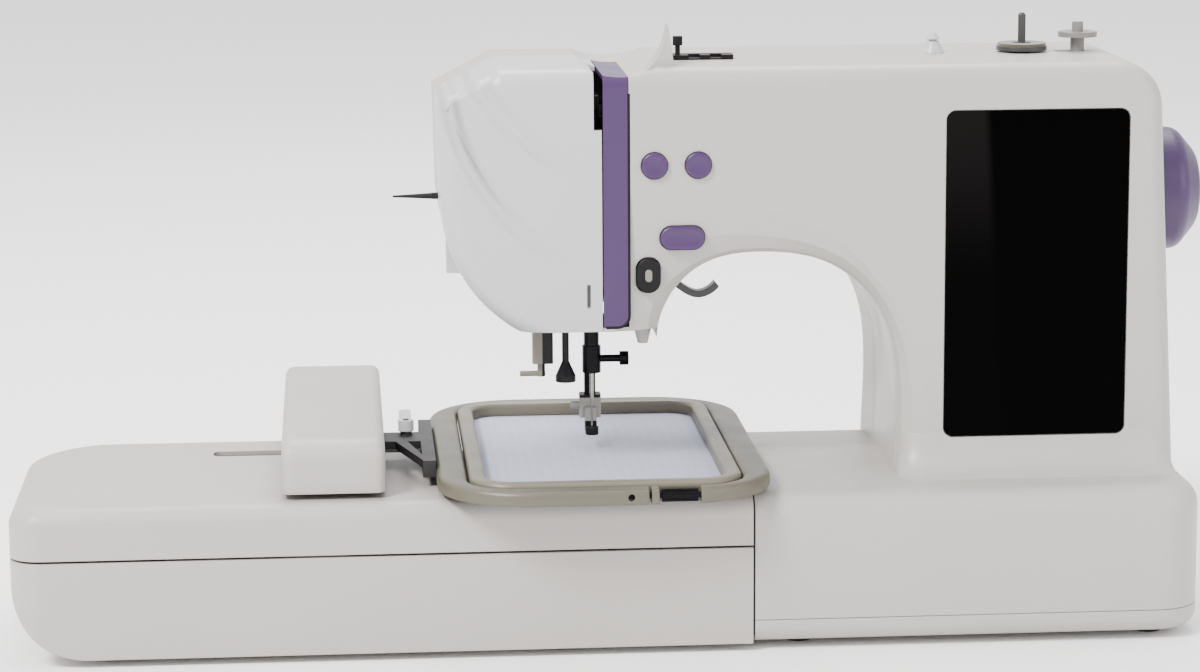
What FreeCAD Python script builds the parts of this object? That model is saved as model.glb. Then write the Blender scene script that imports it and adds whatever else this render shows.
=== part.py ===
import FreeCAD, Part

import os
import re

import Sketcher

# Home sewing machine with a detachable embroidery unit.
# Millimetres, +Z up, +X towards the hand wheel, the operator sits at -Y.
# The origin is the middle of the footprint, on the surface that the feet stand on.

SIZES = {
    # general
    "wall": 2.5,
    "seam": 0.3,
    "fit": 0.3,
    "foot_height": 4,
    "bed_top": 79,
    "bed_front": -98,
    "bed_back": 66,
    # machine base
    "base_left": 63.5,
    "base_right": 290,
    "base_corner": 24,
    "base_edge": 13,
    "base_sole": 8,
    "tray_top": 16,
    # pillar, arm and head
    "arm_front": -56.5,
    "arm_back": 61.5,
    "arm_top": 286,
    "arm_edge": 9,
    "head_bottom": 155,
    "head_left": -89,
    "head_toe": -50,
    "head_flank": 221,
    "head_bevel_x": -59,
    "head_bevel_z": 270,
    "shoulder_x": 250,
    "shoulder_z": 264,
    "pillar_right": 284,
    "pillar_foot": 60,
    "pillar_left": 140,
    "shell_split": 20,
    # throat under the arm
    "arch_left": 20,
    "arch_left_radius": 45,
    "arch_low": 147,
    "arch_top": 192,
    "arch_right_radius": 60,
    "crease_left": -3,
    "crease_top": 225,
    "crease_mid_x": 102,
    "crease_mid_z": 205,
    "crease_right": 150,
    "crease_drop": 139,
    "bevel_depth": 14,
    # flare where the pillar meets the bed
    "flare_reach": 20,
    "flare_rise": 21,
    "flare_corner": 12,
    # head cover and thread channel
    "cover_right": -8,
    "channel_left": -7.7,
    "channel_right": 4.8,
    "channel_low": 157.3,
    "channel_round": 6,
    "slot_left": -12.2,
    "slot_low": 256,
    "slot_back": -12,
    # stations of the stitching mechanism
    "needle_x": -10,
    "shaft_z": 215,
    "low_shaft_y": 6,
    "low_shaft_z": 38,
    "hook_y": -21.5,
    # free arm
    "free_left": -75,
    "free_front": -46,
    "free_back": 62,
    "free_low": 20,
    # embroidery unit
    "unit_left": -302.5,
    "unit_right": 62.5,
    "unit_inner": -77,
    "unit_leg_back": -47.5,
    "unit_seam": 53.5,
    "unit_groove": 1.2,
    "unit_bow": 38,
    "unit_corner": 16,
    "unit_tail": 60,
    "unit_edge": 9,
    # carriage
    "carriage_left": -169,
    "carriage_right": -118,
    "carriage_front": -85.5,
    "carriage_back": 125.5,
    "carriage_low": 82,
    "carriage_top": 108,
    "carriage_edge": 5,
    "carriage_brow": 11,
    # hoop
    "hoop_y": -9.5,
    "window_half_x": 59,
    "window_half_y": 95.5,
    "window_corner": 14,
    "inner_hoop_width": 8,
    "outer_hoop_gap": 0.6,
    "hoop_half_x": 82.5,
    "hoop_half_y": 116,
    "hoop_corner": 46,
    "inner_hoop_low": 84,
    "inner_hoop_top": 91,
    "outer_hoop_low": 82,
    "outer_hoop_top": 89.5,
    "hoop_screw_z": 85.8,
    "fabric_thick": 0.6,
    "fabric_grip": 6,
    # screen
    "screen_left": 164,
    "screen_right": 256,
    "screen_low": 98,
    "screen_top": 263,
    "screen_corner": 4.5,
    "screen_thick": 1.6,
    "screen_gap": 0.5,
    # buttons
    "button_proud": 2.2,
    "button_length": 9,
    "button_stem": 2.5,
    "round_button": 6.6,
    "round_button_z": 238,
    "round_button_left": 17.8,
    "round_button_right": 39.6,
    "wide_button_x": 31.8,
    "wide_button_z": 201.5,
    "wide_button_half": 11.2,
    "wide_button_radius": 6,
    "start_button_x": 14.8,
    "start_button_z": 182.8,
    "start_button_half": 8.8,
    "start_button_radius": 6,
    # hand wheel
    "wheel_radius": 31.5,
    "wheel_inner": 278.5,
    "wheel_rim": 292,
    "wheel_crown_radius": 19,
    "wheel_face": 302.5,
    "wheel_bore": 4,
    "wheel_hub": 7,
    "wheel_dish": 284,
    "wheel_web_radius": 27,
    "wheel_round_radius": 8,
    # main shaft
    "shaft_radius": 4,
    "shaft_left": 2,
    "crank_radius": 15,
    "crank_thick": 6,
    "belt_wheel_x": 230,
    "belt_wheel_width": 9,
    "belt_wheel_radius": 20,
    "timing_x": 215,
    "timing_width": 9,
    "timing_radius": 13,
    "flange": 1.2,
    # bushes
    "bush_radius": 7,
    "bush_length": 12,
    "bush_left_x": 22,
    "bush_right_x": 250,
    # cast frame
    "frame_front": 24,
    "frame_back": 36,
    "frame_left": -24,
    "frame_nose": 16,
    "frame_nose_low": 165,
    "frame_right": 262,
    "frame_beam_low": 203,
    "frame_beam_top": 250,
    "frame_column": 205,
    "frame_low": 24,
    "frame_shelf": 58,
    "frame_low_left": -55,
    # motor
    "motor_radius": 20,
    "motor_left": 160,
    "motor_length": 52,
    "motor_y": -28,
    "motor_z": 62,
    "motor_pulley": 8,
    "belt_thick": 1.6,
    # needle bar
    "bar_radius": 3.9,
    "bar_low": 126,
    "guide_low": 168,
    "guide_high": 240,
    "guide_thick": 10,
    "bar_top": 262,
    "clamp_low": 124,
    "clamp_top": 138,
    "clamp_radius": 4.8,
    "clamp_screw_z": 131,
    "screw_radius": 1.9,
    "screw_reach": 19,
    "screw_head": 3.6,
    "screw_head_thick": 4.5,
    "needle_tip": 92,
    "needle_shank_low": 110,
    "needle_radius": 0.5,
    "shank_radius": 1,
    # presser bar
    "presser_y": 14,
    "presser_radius": 3,
    "presser_low": 100,
    "presser_top": 246,
    "foot_low": 91.2,
    "foot_ring": 3.4,
    "foot_hole": 1.3,
    # spools and guides on top
    "spool_x": 213,
    "spool_y": 6,
    "spool_tip": 306,
    "spool_disc": 13,
    "winder_x": 242,
    "winder_head": 10,
    "winder_travel": 8,
    "post_x": 167,
}

doc = FreeCAD.newDocument("sewing_machine")
sheet = doc.addObject("Spreadsheet::Sheet", "size")
for row, (alias, value) in enumerate(SIZES.items(), start=1):
    sheet.set(f"A{row}", alias)
    sheet.set(f"B{row}", str(value))
    sheet.setAlias(f"B{row}", alias)
doc.recompute()

Vector = FreeCAD.Vector
ALIAS = re.compile(r"[a-z_]+")
TURNS = {
    "x": FreeCAD.Rotation(Vector(0, 1, 0), 90),
    "y": FreeCAD.Rotation(Vector(1, 0, 0), -90),
    "z": FreeCAD.Rotation(),
}
NODES = []


def read(name):
    """The value of one cell of the sheet."""
    return float(sheet.get(name))


def rule(text):
    """An expression on the sheet, from a rule such as 'bed_top - wall'."""
    return ALIAS.sub(lambda word: f"size.{word.group()}" if word.group() in SIZES else word.group(), str(text))


def node(item):
    """Mark an object as one sub-part of the machine."""
    NODES.append(item)
    return item


# ---------------------------------------------------------------- primitives bound to the sheet

def block(name, x, y, z):
    """A box between two rules along each axis."""
    item = doc.addObject("Part::Box", name)
    for prop, side, (low, high) in (("Length", "x", x), ("Width", "y", y), ("Height", "z", z)):
        item.setExpression(prop, rule(f"({high}) - ({low})"))
        item.setExpression(f"Placement.Base.{side}", rule(low))
    return item


def rod(name, radius, start, length, along="z"):
    """A cylinder that starts at a point and runs along one axis."""
    item = doc.addObject("Part::Cylinder", name)
    item.Placement = FreeCAD.Placement(Vector(), TURNS[along])
    item.setExpression("Radius", rule(radius))
    item.setExpression("Height", rule(length))
    for side, value in zip("xyz", start):
        item.setExpression(f"Placement.Base.{side}", rule(value))
    return item


def taper(name, radius, top_radius, start, length, along="z"):
    """A cone, or a cone with a flat top, that starts at a point and runs along one axis."""
    item = doc.addObject("Part::Cone", name)
    item.Placement = FreeCAD.Placement(Vector(), TURNS[along])
    item.setExpression("Radius1", rule(radius))
    item.setExpression("Radius2", rule(top_radius))
    item.setExpression("Height", rule(length))
    for side, value in zip("xyz", start):
        item.setExpression(f"Placement.Base.{side}", rule(value))
    return item


def join(name, *pieces):
    """One object from pieces that touch, or a group of separate solids."""
    item = doc.addObject("Part::MultiFuse", name)
    item.Shapes = list(pieces)
    item.Refine = True
    return item


def cut(name, base, *tools):
    """An object with other objects taken out of it."""
    item = doc.addObject("Part::Cut", name)
    item.Base = base
    item.Tool = tools[0] if len(tools) == 1 else join(f"{name}_tools", *tools)
    item.Refine = True
    return item


def slab(name, x, y, z, corner, along="z"):
    """A block whose four edges along one axis are rounded."""
    spans = {"x": x, "y": y, "z": z}
    across = [side for side in "xyz" if side != along]
    pieces = []
    for count, narrow in enumerate(across):
        trimmed = dict(spans)
        low, high = spans[narrow]
        trimmed[narrow] = (f"{low} + {corner}", f"{high} - ({corner})")
        pieces.append(block(f"{name}_bar_{count}", trimmed["x"], trimmed["y"], trimmed["z"]))
    low, high = spans[along]
    first, second = across
    for count in range(4):
        end = count % 2
        side = count // 2
        start = dict(zip(across, (
            f"{spans[first][end]} + ({1 - 2 * end}) * ({corner})",
            f"{spans[second][side]} + ({1 - 2 * side}) * ({corner})")))
        start[along] = low
        place = (start["x"], start["y"], start["z"])
        pieces.append(rod(f"{name}_corner_{count}", corner, place, f"({high}) - ({low})", along))
    return join(name, *pieces)


def solid(name, shape):
    """A sub-part whose shape is made with Part's own functions."""
    item = doc.addObject("Part::Feature", name)
    item.Shape = shape
    item.Placement = FreeCAD.Placement()
    return item


# ---------------------------------------------------------------- curved shells

def span(low, high):
    """A plain box shape between two corners, for trimming shells."""
    return Part.makeBox(high[0] - low[0], high[1] - low[1], high[2] - low[2], Vector(*low))


def polyline(points, y):
    """Straight edges through points of the XZ plane at one depth."""
    corners = [Vector(x, y, z) for x, z in points]
    return [Part.makeLine(a, b) for a, b in zip(corners, corners[1:])]


def arm_outline(y):
    """Front outline of head, arm and pillar as one closed wire."""
    toe = Vector(read("head_toe"), y, read("head_bottom"))
    cheek = Vector(read("head_left") + 11.18, y, read("head_bottom") + 27.92)
    flank = Vector(read("head_left") + 1, y, read("head_flank"))
    shoulder = Vector(read("shoulder_x"), y, read("arm_top"))
    bend = Vector(read("shoulder_x") + 16.5, y, read("arm_top") - 6)
    side = Vector(read("pillar_right") - 10, y, read("shoulder_z"))
    edges = [Part.Arc(toe, cheek, flank).toShape()]
    edges += polyline([(flank.x, flank.z), (read("head_left"), read("head_bevel_z")),
                       (read("head_bevel_x"), read("arm_top")), (shoulder.x, shoulder.z)], y)
    edges.append(Part.Arc(shoulder, bend, side).toShape())
    edges += polyline([(side.x, side.z), (read("pillar_right"), read("pillar_foot")),
                       (read("arch_left"), read("pillar_foot")),
                       (read("arch_left"), toe.z), (toe.x, toe.z)], y)
    return Part.Wire(edges)


def rounded(shape, radius, keep):
    """Round the edges that a test picks, all with one radius."""
    return shape.makeFillet(radius, [edge for edge in shape.Edges if keep(edge)])


def arm_body(inset):
    """Head, arm and pillar as one block, drawn in by an inset, before the throat is cut."""
    front = read("arm_front") + inset
    depth = read("arm_back") - inset - front
    wire = arm_outline(front)
    if inset:
        wire = wire.makeOffset2D(-inset, 2)
    body = Part.Face(wire).extrude(Vector(0, depth, 0))
    back = front + depth

    def on_rim(edge):
        box = edge.BoundBox
        flat = box.YLength < 0.01 and (abs(box.YMin - front) < 0.01 or abs(box.YMin - back) < 0.01)
        throat_edge = box.ZMax < read("arch_low") or box.XMax < read("arch_left") + 4 and box.ZMax < 160
        return flat and not throat_edge

    return rounded(body, read("arm_edge") - inset, on_rim)


def arch_points():
    """The throat's edge at full depth, from the head round to the pillar's foot."""
    left = read("arch_left_radius")
    right = read("arch_right_radius")
    left_x = read("arch_left") + left
    right_x = read("pillar_left") - right
    low = read("arch_low")
    side = read("arch_top") - right
    points = [(left_x - left, low)]
    for sine, cosine in ((0.5, 0.866), (0.866, 0.5)):
        points.append((left_x - left * cosine, low + left * sine))
    points.append(((left_x + right_x) / 2, read("arch_top")))
    for sine, cosine in ((0.5, 0.866), (0.866, 0.5)):
        points.append((right_x + right * sine, side + right * cosine))
    points += [(read("pillar_left"), side), (read("pillar_left"), read("pillar_foot") - 5)]
    return points


def crease_points():
    """The line on the front face where the casing starts to fall back to the throat."""
    left = read("crease_left")
    top = read("crease_top")
    right = read("crease_right")
    drop = read("crease_drop")
    return [(left, top), (left + 36, top), (left + 71, top - 9), (read("crease_mid_x"), read("crease_mid_z")),
            (right - 32, top - 33), (right - 12, top - 58), (right, drop), (right, read("pillar_foot") - 5)]


def throat_wire(share, y, grow):
    """A closed section of the throat between crease (share 0) and arch (share 1)."""
    blended = []
    for (crease_x, crease_z), (arch_x, arch_z) in zip(crease_points(), arch_points()):
        blended.append((crease_x + (arch_x - crease_x) * share, crease_z + (arch_z - crease_z) * share))
    corners = [Vector(x, y, z) for x, z in blended]
    shifted = []
    for index, corner in enumerate(corners):
        before = corners[max(index - 1, 0)]
        after = corners[min(index + 1, len(corners) - 1)]
        along = (after - before).normalize()
        shifted.append(corner + Vector(-along.z, 0, along.x) * grow)
    curve = Part.BSplineCurve()
    curve.interpolate(shifted)
    start = shifted[0]
    end = shifted[-1]
    foot = Vector(start.x, y, end.z)
    return Part.Wire([curve.toShape(), Part.makeLine(end, foot), Part.makeLine(foot, start)])


def throat_cutter(grow):
    """The open throat with its falling-back front edge, as a solid to take away."""
    front = read("arm_front") + grow
    depth = read("bevel_depth")
    steps = ((0, 0), (0.45, 0.14), (0.8, 0.38), (0.95, 0.66), (1, 1))
    wires = [throat_wire(share, front + depth * reach, grow) for share, reach in steps]
    bevel = Part.makeLoft(wires, True, True)
    straight = Part.Face(wires[-1]).extrude(Vector(0, read("arm_back") + 5 - front - depth, 0))
    ahead = Part.Face(wires[0]).extrude(Vector(0, -5 - grow, 0))
    return bevel.fuse(straight).fuse(ahead)


def base_body(inset):
    """The machine's base block with rounded corners and edges, drawn in by an inset."""
    low = (read("base_left") + inset, read("bed_front") + inset, read("foot_height") + inset)
    high = (read("base_right") - inset, read("bed_back") - inset, read("bed_top") - inset)
    body = span(low, high)
    body = rounded(body, read("base_corner") - inset,
                   lambda edge: edge.BoundBox.ZLength > 20 and edge.BoundBox.XMin > high[0] - 1)
    body = rounded(body, read("base_edge") - inset,
                   lambda edge: edge.BoundBox.ZMin > high[2] - 0.1 and edge.BoundBox.XMax > low[0] + 1)
    return rounded(body, read("base_sole") - inset,
                   lambda edge: edge.BoundBox.ZMax < low[2] + 0.1 and edge.BoundBox.XMax > low[0] + 1)


def flare_body():
    """The concave skirt that spreads the pillar's foot on to the bed."""
    reach = read("flare_reach")
    rise = read("flare_rise")
    corner = read("flare_corner")
    wires = []
    for share, height in ((1, 0), (0.62, 0.12), (0.3, 0.34), (0.1, 0.64), (0, 1)):
        left = read("crease_right") - 8 - 2 * share
        right = read("pillar_right") - 2 - 3 * height
        front = read("arm_front") - reach * share
        z = read("bed_top") - 1 + (rise + 1) * height
        start = Vector(left, 0, z)
        middle = Vector(left + corner * 0.293, front + corner * 0.293, z)
        edges = [Part.makeLine(start, Vector(left, front + corner, z)),
                 Part.Arc(Vector(left, front + corner, z), middle, Vector(left + corner, front, z)).toShape(),
                 Part.makeLine(Vector(left + corner, front, z), Vector(right - corner, front, z)),
                 Part.Arc(Vector(right - corner, front, z),
                          Vector(right - corner * 0.293, front + corner * 0.293, z),
                          Vector(right, front + corner, z)).toShape(),
                 Part.makeLine(Vector(right, front + corner, z), Vector(right, 0, z)),
                 Part.makeLine(Vector(right, 0, z), start)]
        wires.append(Part.Wire(edges))
    return Part.makeLoft(wires, True, False)


# ---------------------------------------------------------------- casings of the machine

wall = read("wall")
seam = read("seam")
split = read("shell_split")
FAR = 400


def dip(grow):
    """The shallow valley across the top of the head, where the thread runs down."""
    radius = 45 + grow
    centre = Vector(2, -FAR / 2, read("arm_top") + 41)
    return Part.makeCylinder(radius, FAR, centre, Vector(0, 1, 0))


def fin_body():
    """The pointed hook beside the thread channel that holds the thread in."""
    top = read("arm_top")
    foot = Vector(13, -44, top - 4)
    curl = Vector(21.5, -44, top + 6)
    tip = Vector(26, -44, top + 20)
    edges = [Part.Arc(foot, curl, tip).toShape()]
    edges += polyline([(tip.x, tip.z), (28.5, top + 3), (30, top - 2), (13, top - 4)], -44)
    return Part.Face(Part.Wire(edges)).extrude(Vector(0, 16, 0))


def swoosh_cutter():
    """The shallow sweeping hollow on the face of the head cover."""
    front = read("arm_front")
    stations = (((-87, 264), (-69, 287), 2), ((-76, 243), (-58, 270), 1.9),
                ((-62, 219), (-42, 248), 1.3), ((-44, 199), (-20, 235), 0.1))
    wires = []
    for (low_x, low_z), (high_x, high_z), depth in stations:
        lean = 0.12
        inner_low = (low_x + (high_x - low_x) * lean, low_z + (high_z - low_z) * lean)
        inner_high = (high_x - (high_x - low_x) * lean, high_z - (high_z - low_z) * lean)
        corners = [Vector(low_x, front - 2, low_z), Vector(low_x, front - 0.01, low_z),
                   Vector(inner_low[0], front + depth, inner_low[1]),
                   Vector(inner_high[0], front + depth, inner_high[1]),
                   Vector(high_x, front - 0.01, high_z), Vector(high_x, front - 2, high_z)]
        wires.append(Part.makePolygon(corners + corners[:1]))
    return Part.makeLoft(wires, True, False)


inside = arm_body(wall).cut(throat_cutter(wall)).cut(dip(wall)).fuse(base_body(wall))
block_whole = arm_body(0).cut(dip(0))
channel_ring = block_whole.cut(inside)
outside = block_whole.cut(throat_cutter(0)).fuse([flare_body(), base_body(0), fin_body()])
free_mouth = span((read("base_left") - 5, read("free_front") + wall, read("free_low") + wall),
                  (read("base_left") + 5, read("free_back") - wall, read("bed_top") - wall))
casing = outside.cut(inside).cut(free_mouth)

front_room = span((read("channel_right") + seam, -FAR, read("tray_top")), (FAR, split, FAR))
strip_floor = span((read("cover_right"), -FAR, read("head_bottom") - 5),
                   (read("channel_right") + seam, split, read("channel_low") - seam))
front_shell = solid("front_shell", casing.common(front_room.fuse(strip_floor)).removeSplitter())
rear_shell = solid("rear_shell", casing.common(
    span((-FAR, split + seam, read("tray_top")), (FAR, FAR, FAR))).removeSplitter())
cover_shell = solid("cover_shell", casing.cut(swoosh_cutter()).common(
    span((-FAR, -FAR, read("tray_top")), (read("cover_right") - seam, split, FAR))).removeSplitter())
tray_shell = casing.common(span((-FAR, -FAR, 0), (FAR, FAR, read("tray_top") - seam)))
node(solid("base_tray", tray_shell.removeSplitter()))

channel_room = span((read("channel_left"), -FAR, read("channel_low")), (read("channel_right"), split, FAR))
channel_round = read("channel_round")
round_x = read("channel_right") - channel_round
round_z = read("channel_low") + channel_round
channel_nick = span((round_x, -FAR, read("channel_low") - 1), (FAR, 0, round_z)).cut(
    Part.makeCylinder(channel_round, FAR, Vector(round_x, -FAR, round_z), Vector(0, 1, 0)))
channel_mouth = span((read("needle_x") - 37, -16, 0), (read("needle_x") + 16, split, read("head_bottom") + 5))
channel_shell = channel_ring.common(channel_room).cut(channel_nick).cut(channel_mouth)
node(solid("thread_channel", channel_shell.removeSplitter()))

# Holes through the front casing: screen seat, buttons, needle bar mouth, winder slot, spool and main shaft.
screen_seat = slab("screen_seat", ("screen_left - screen_gap", "screen_right + screen_gap"),
                   ("arm_front - wall", "arm_front + screen_thick"),
                   ("screen_low - screen_gap", "screen_top + screen_gap"), "screen_corner + screen_gap", "y")
hole_depth = "bevel_depth + wall * 2"
round_holes = [
    rod(f"round_hole_{side}", "round_button + fit", (f"round_button_{side}", "arm_front - wall", "round_button_z"),
        hole_depth, "y") for side in ("left", "right")]
wide_hole = slab("wide_hole", ("wide_button_x - wide_button_half - fit", "wide_button_x + wide_button_half + fit"),
                 ("arm_front - wall", f"arm_front + {hole_depth}"),
                 ("wide_button_z - wide_button_radius - fit", "wide_button_z + wide_button_radius + fit"),
                 "wide_button_radius", "y")
start_hole = slab("start_hole", ("start_button_x - start_button_radius - fit",
                                 "start_button_x + start_button_radius + fit"),
                  ("arm_front - wall", f"arm_front + {hole_depth}"),
                  ("start_button_z - start_button_half - fit", "start_button_z + start_button_half + fit"),
                  "start_button_radius - fit", "y")
bar_mouth = block("bar_mouth", ("needle_x - 37", "needle_x + 16"), ("-16", "shell_split + 12"),
                  ("head_bottom - 3", "head_bottom + 5"))
winder_slot = slab("winder_slot", ("winder_x - winder_travel - 4.2", "winder_x + 4.2"),
                   ("spool_y - 4.2", "spool_y + 4.2"), ("arm_top - 6", "arm_top + 4"), "4.1")
spool_hole = rod("spool_hole", "3", ("spool_x", "spool_y", "arm_top - 6"), "10")
shaft_hole = rod("shaft_hole", "wheel_hub + 1", ("wheel_inner - 10", "0", "shaft_z"), "12", "x")
node(cut("front_casing", front_shell, screen_seat, *round_holes, wide_hole, start_hole, bar_mouth,
         winder_slot, spool_hole, shaft_hole))

# The head cover has the take-up slot, the threader's slot and the seat of the thread cutter.
take_up_slot = block("take_up_slot", ("slot_left", "cover_right + 1"), ("arm_front - 5", "slot_back"),
                     ("slot_low", "arm_top + 5"))
threader_slot = block("threader_slot", ("head_left - 5", "head_left + 10"), ("-3", "3"),
                      ("head_flank - 23", "head_flank + 1"))
cutter_seat = block("cutter_seat", ("head_left + 4", "head_left + 16"), ("-32", "-20"), ("182", "200"))
mark_slot = block("mark_slot", ("needle_x - 6", "needle_x - 4.2"), ("arm_front - 5", "arm_front + 0.8"),
                  ("167", "179"))
node(cut("head_cover", cover_shell, take_up_slot, threader_slot, cutter_seat, bar_mouth, mark_slot))
cutter_body = block("cutter_body", ("head_left + 4", "head_left + 15.9"), ("-31.9", "-20.1"), ("182.1", "199.9"))
cutter_gap = block("cutter_gap", ("head_left + 3", "head_left + 8"), ("-27", "-25.6"), ("188", "202"))
node(cut("thread_cutter", cutter_body, cutter_gap))

# The rear casing has the lever slot, the screw seats, and the holes for the power inlet and its switch.
lever_slot = block("lever_slot", ("10", "42"), ("frame_back", "frame_back + 8.6"), ("148", "188"))
SCREW_PLACES = [("-62", "arm_back", "205"), ("80", "arm_back", "262"), ("250", "arm_back", "250"),
                ("160", "arm_back", "110"), ("100", "bed_back", "44"), ("262", "bed_back", "44")]
screw_seats = []
screws = []
for count, (x, face, z) in enumerate(SCREW_PLACES):
    screw_seats.append(rod(f"screw_seat_{count}", "3.4", (x, f"{face} - 1.4", z), "3", "y"))
    screw_seats.append(rod(f"screw_hole_{count}", "1.6", (x, f"{face} - 6", z), "6", "y"))
    head = rod(f"screw_head_{count}", "3.2", (x, f"{face} - 1.4", z), "1.2", "y")
    shank = rod(f"screw_shank_{count}", "1.6", (x, f"{face} - 8", z), "6.7", "y")
    cross = block(f"screw_cross_{count}", (f"{x} - 2", f"{x} + 2"), (f"{face} - 0.9", f"{face} + 1"),
                  (f"{z} - 0.4", f"{z} + 0.4"))
    screws.append(cut(f"screw_{count}", join(f"screw_blank_{count}", head, shank), cross))
inlet_hole = block("inlet_hole", ("base_right - 6", "base_right + 4"), ("24", "46"), ("22", "36"))
switch_hole = block("switch_hole", ("base_right - 6", "base_right + 4"), ("27.4", "42.6"), ("42", "58"))
rear_bar_mouth = block("rear_bar_mouth", ("needle_x - 37", "needle_x + 16"), ("shell_split - 1", "shell_split + 12"),
                       ("head_bottom - 3", "head_bottom + 5"))
node(cut("rear_casing", rear_shell, lever_slot, *screw_seats, inlet_hole, switch_hole, rear_bar_mouth))
node(join("casing_screws", *screws))

# ---------------------------------------------------------------- free arm, needle plate and bobbin

free_block = slab("free_block", ("free_left", "base_left - seam"), ("free_front", "free_back"),
                  ("free_low", "bed_top"), "6", "x")
free_hollow = block("free_hollow", ("free_left + wall", "base_left + 5"), ("free_front + wall", "free_back - wall"),
                    ("free_low + wall", "bed_top - wall"))
plate_seat = block("plate_seat", ("needle_x - 38.2", "needle_x + 38.2"), ("-42.7", "42.2"),
                   ("bed_top - 1.6", "bed_top + 2"))
plate_mouth = block("plate_mouth", ("needle_x - 34", "needle_x + 34"), ("-42.7", "38"),
                    ("bed_top - 5", "bed_top + 2"))
node(cut("free_arm", free_block, free_hollow, plate_seat, plate_mouth))

plate_blank = slab("plate_blank", ("needle_x - 38", "needle_x + 38"), ("-42.5", "42"),
                   ("bed_top - 1.6", "bed_top"), "3")
bobbin_mouth = block("bobbin_mouth", ("needle_x - 18", "needle_x + 18"), ("hook_y - 18", "hook_y + 17"),
                     ("bed_top - 5", "bed_top + 2"))
needle_slot = slab("needle_slot", ("needle_x - 3.5", "needle_x + 3.5"), ("-1.2", "1.2"),
                   ("bed_top - 5", "bed_top + 2"), "1.1")
FEED_ROWS = ("-6", "6")
feed_slots = [block(f"feed_slot_{count}", (f"needle_x + {x} - 2", f"needle_x + {x} + 2"), ("3.4", "23.6"),
                    ("bed_top - 5", "bed_top + 2")) for count, x in enumerate(FEED_ROWS)]
node(cut("needle_plate", plate_blank, bobbin_mouth, needle_slot, *feed_slots))
node(slab("bobbin_cover", ("needle_x - 17.7", "needle_x + 17.7"), ("hook_y - 17.7", "hook_y + 16.7"),
          ("bed_top - 1.5", "bed_top"), "2"))

feed_base = block("feed_base", ("needle_x - 9", "needle_x + 9"), ("4", "23"), ("bed_top - 13", "bed_top - 9"))
feed_rows = [block(f"feed_row_{count}", (f"needle_x + {x} - 1.5", f"needle_x + {x} + 1.5"), ("4", "23"),
                   ("bed_top - 9", "bed_top - 1")) for count, x in enumerate(FEED_ROWS)]
node(join("feed_dog", feed_base, *feed_rows))

case_cup = rod("case_cup", "16", ("needle_x", "hook_y", "57.6"), "14.4")
case_well = rod("case_well", "12", ("needle_x", "hook_y", "59"), "14")
case_post = rod("case_post", "2.7", ("needle_x", "hook_y", "58"), "12")
node(join("bobbin_case", cut("case_shell", case_cup, case_well), case_post))

bobbin_low = rod("bobbin_low", "10.3", ("needle_x", "hook_y", "59.4"), "1")
bobbin_core = rod("bobbin_core", "4.5", ("needle_x", "hook_y", "60"), "10")
bobbin_high = rod("bobbin_high", "10.3", ("needle_x", "hook_y", "70"), "1")
bobbin_bore = rod("bobbin_bore", "3", ("needle_x", "hook_y", "58"), "14")
node(cut("bobbin", join("bobbin_blank", bobbin_low, bobbin_core, bobbin_high), bobbin_bore))

hook_cup = cut("hook_cup", rod("hook_outer", "19", ("needle_x", "hook_y", "55"), "15"),
               rod("hook_well", "16.5", ("needle_x", "hook_y", "57"), "14"),
               block("hook_notch", ("needle_x + 12", "needle_x + 20"), ("hook_y - 4", "hook_y + 4"), ("64", "71")))
hook_hub = rod("hook_hub", "7", ("needle_x", "hook_y", "40"), "15")
hook_gear = rod("hook_gear", "17.7", ("needle_x", "hook_y", "low_shaft_z - 3"), "6")
node(join("rotary_hook", hook_cup, hook_hub, hook_gear))

# ---------------------------------------------------------------- frame, shafts, motor and belts

beam = block("frame_beam", ("frame_left", "frame_right"), ("frame_front", "frame_back"),
             ("frame_beam_low", "frame_beam_top"))
nose = block("frame_nose_plate", ("frame_left", "frame_nose"), ("frame_front", "frame_back"),
             ("frame_nose_low", "frame_beam_top + 10"))
column = block("frame_column_plate", ("frame_column", "frame_right"), ("frame_front", "frame_back"),
               ("frame_low", "frame_beam_top"))
shelf = block("frame_shelf_plate", ("frame_low_left", "frame_right"), ("frame_front", "frame_back"),
              ("frame_low", "frame_shelf"))
lugs = []
bores = []
for side in ("left", "right"):
    lugs.append(block(f"shaft_lug_{side}", (f"bush_{side}_x", f"bush_{side}_x + bush_length"),
                      ("-bush_radius - 3", "frame_front"), ("shaft_z - bush_radius - 3", "shaft_z + bush_radius + 3")))
    bores.append(rod(f"shaft_bore_{side}", "bush_radius", (f"bush_{side}_x - 1", "0", "shaft_z"),
                     "bush_length + 2", "x"))
for count, x in enumerate(("40", "240")):
    lugs.append(block(f"low_lug_{count}", (x, f"{x} + 10"), ("low_shaft_y - 8", "frame_front"),
                      ("low_shaft_z - 8", "low_shaft_z + 8")))
    bores.append(rod(f"low_bore_{count}", "shaft_radius + 0.05", (f"{x} - 1", "low_shaft_y", "low_shaft_z"),
                     "12", "x"))
for level in ("low", "high"):
    lugs.append(block(f"guide_block_{level}", ("needle_x - 7", "needle_x + 5.2"), ("-7", "frame_front"),
                      (f"guide_{level}", f"guide_{level} + guide_thick")))
bores.append(rod("bar_bore", "bar_radius + 0.05", ("needle_x", "0", "guide_low - 1"), "guide_high", "z"))
bores.append(rod("presser_bore", "presser_radius + 0.05", ("needle_x", "presser_y", "guide_low - 1"),
                 "guide_high", "z"))
lever_pin = rod("lever_pin", "2.4", ("10", "frame_back - 1", "176"), "9", "y")
take_up_pin = rod("take_up_pin", "1.9", ("needle_x + 5", "8", "guide_high + 5"), "3.6", "x")
frame_blank = join("frame_blank", beam, nose, column, shelf, *lugs)
node(join("cast_frame", cut("frame_bored", frame_blank, *bores), lever_pin, take_up_pin))

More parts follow.
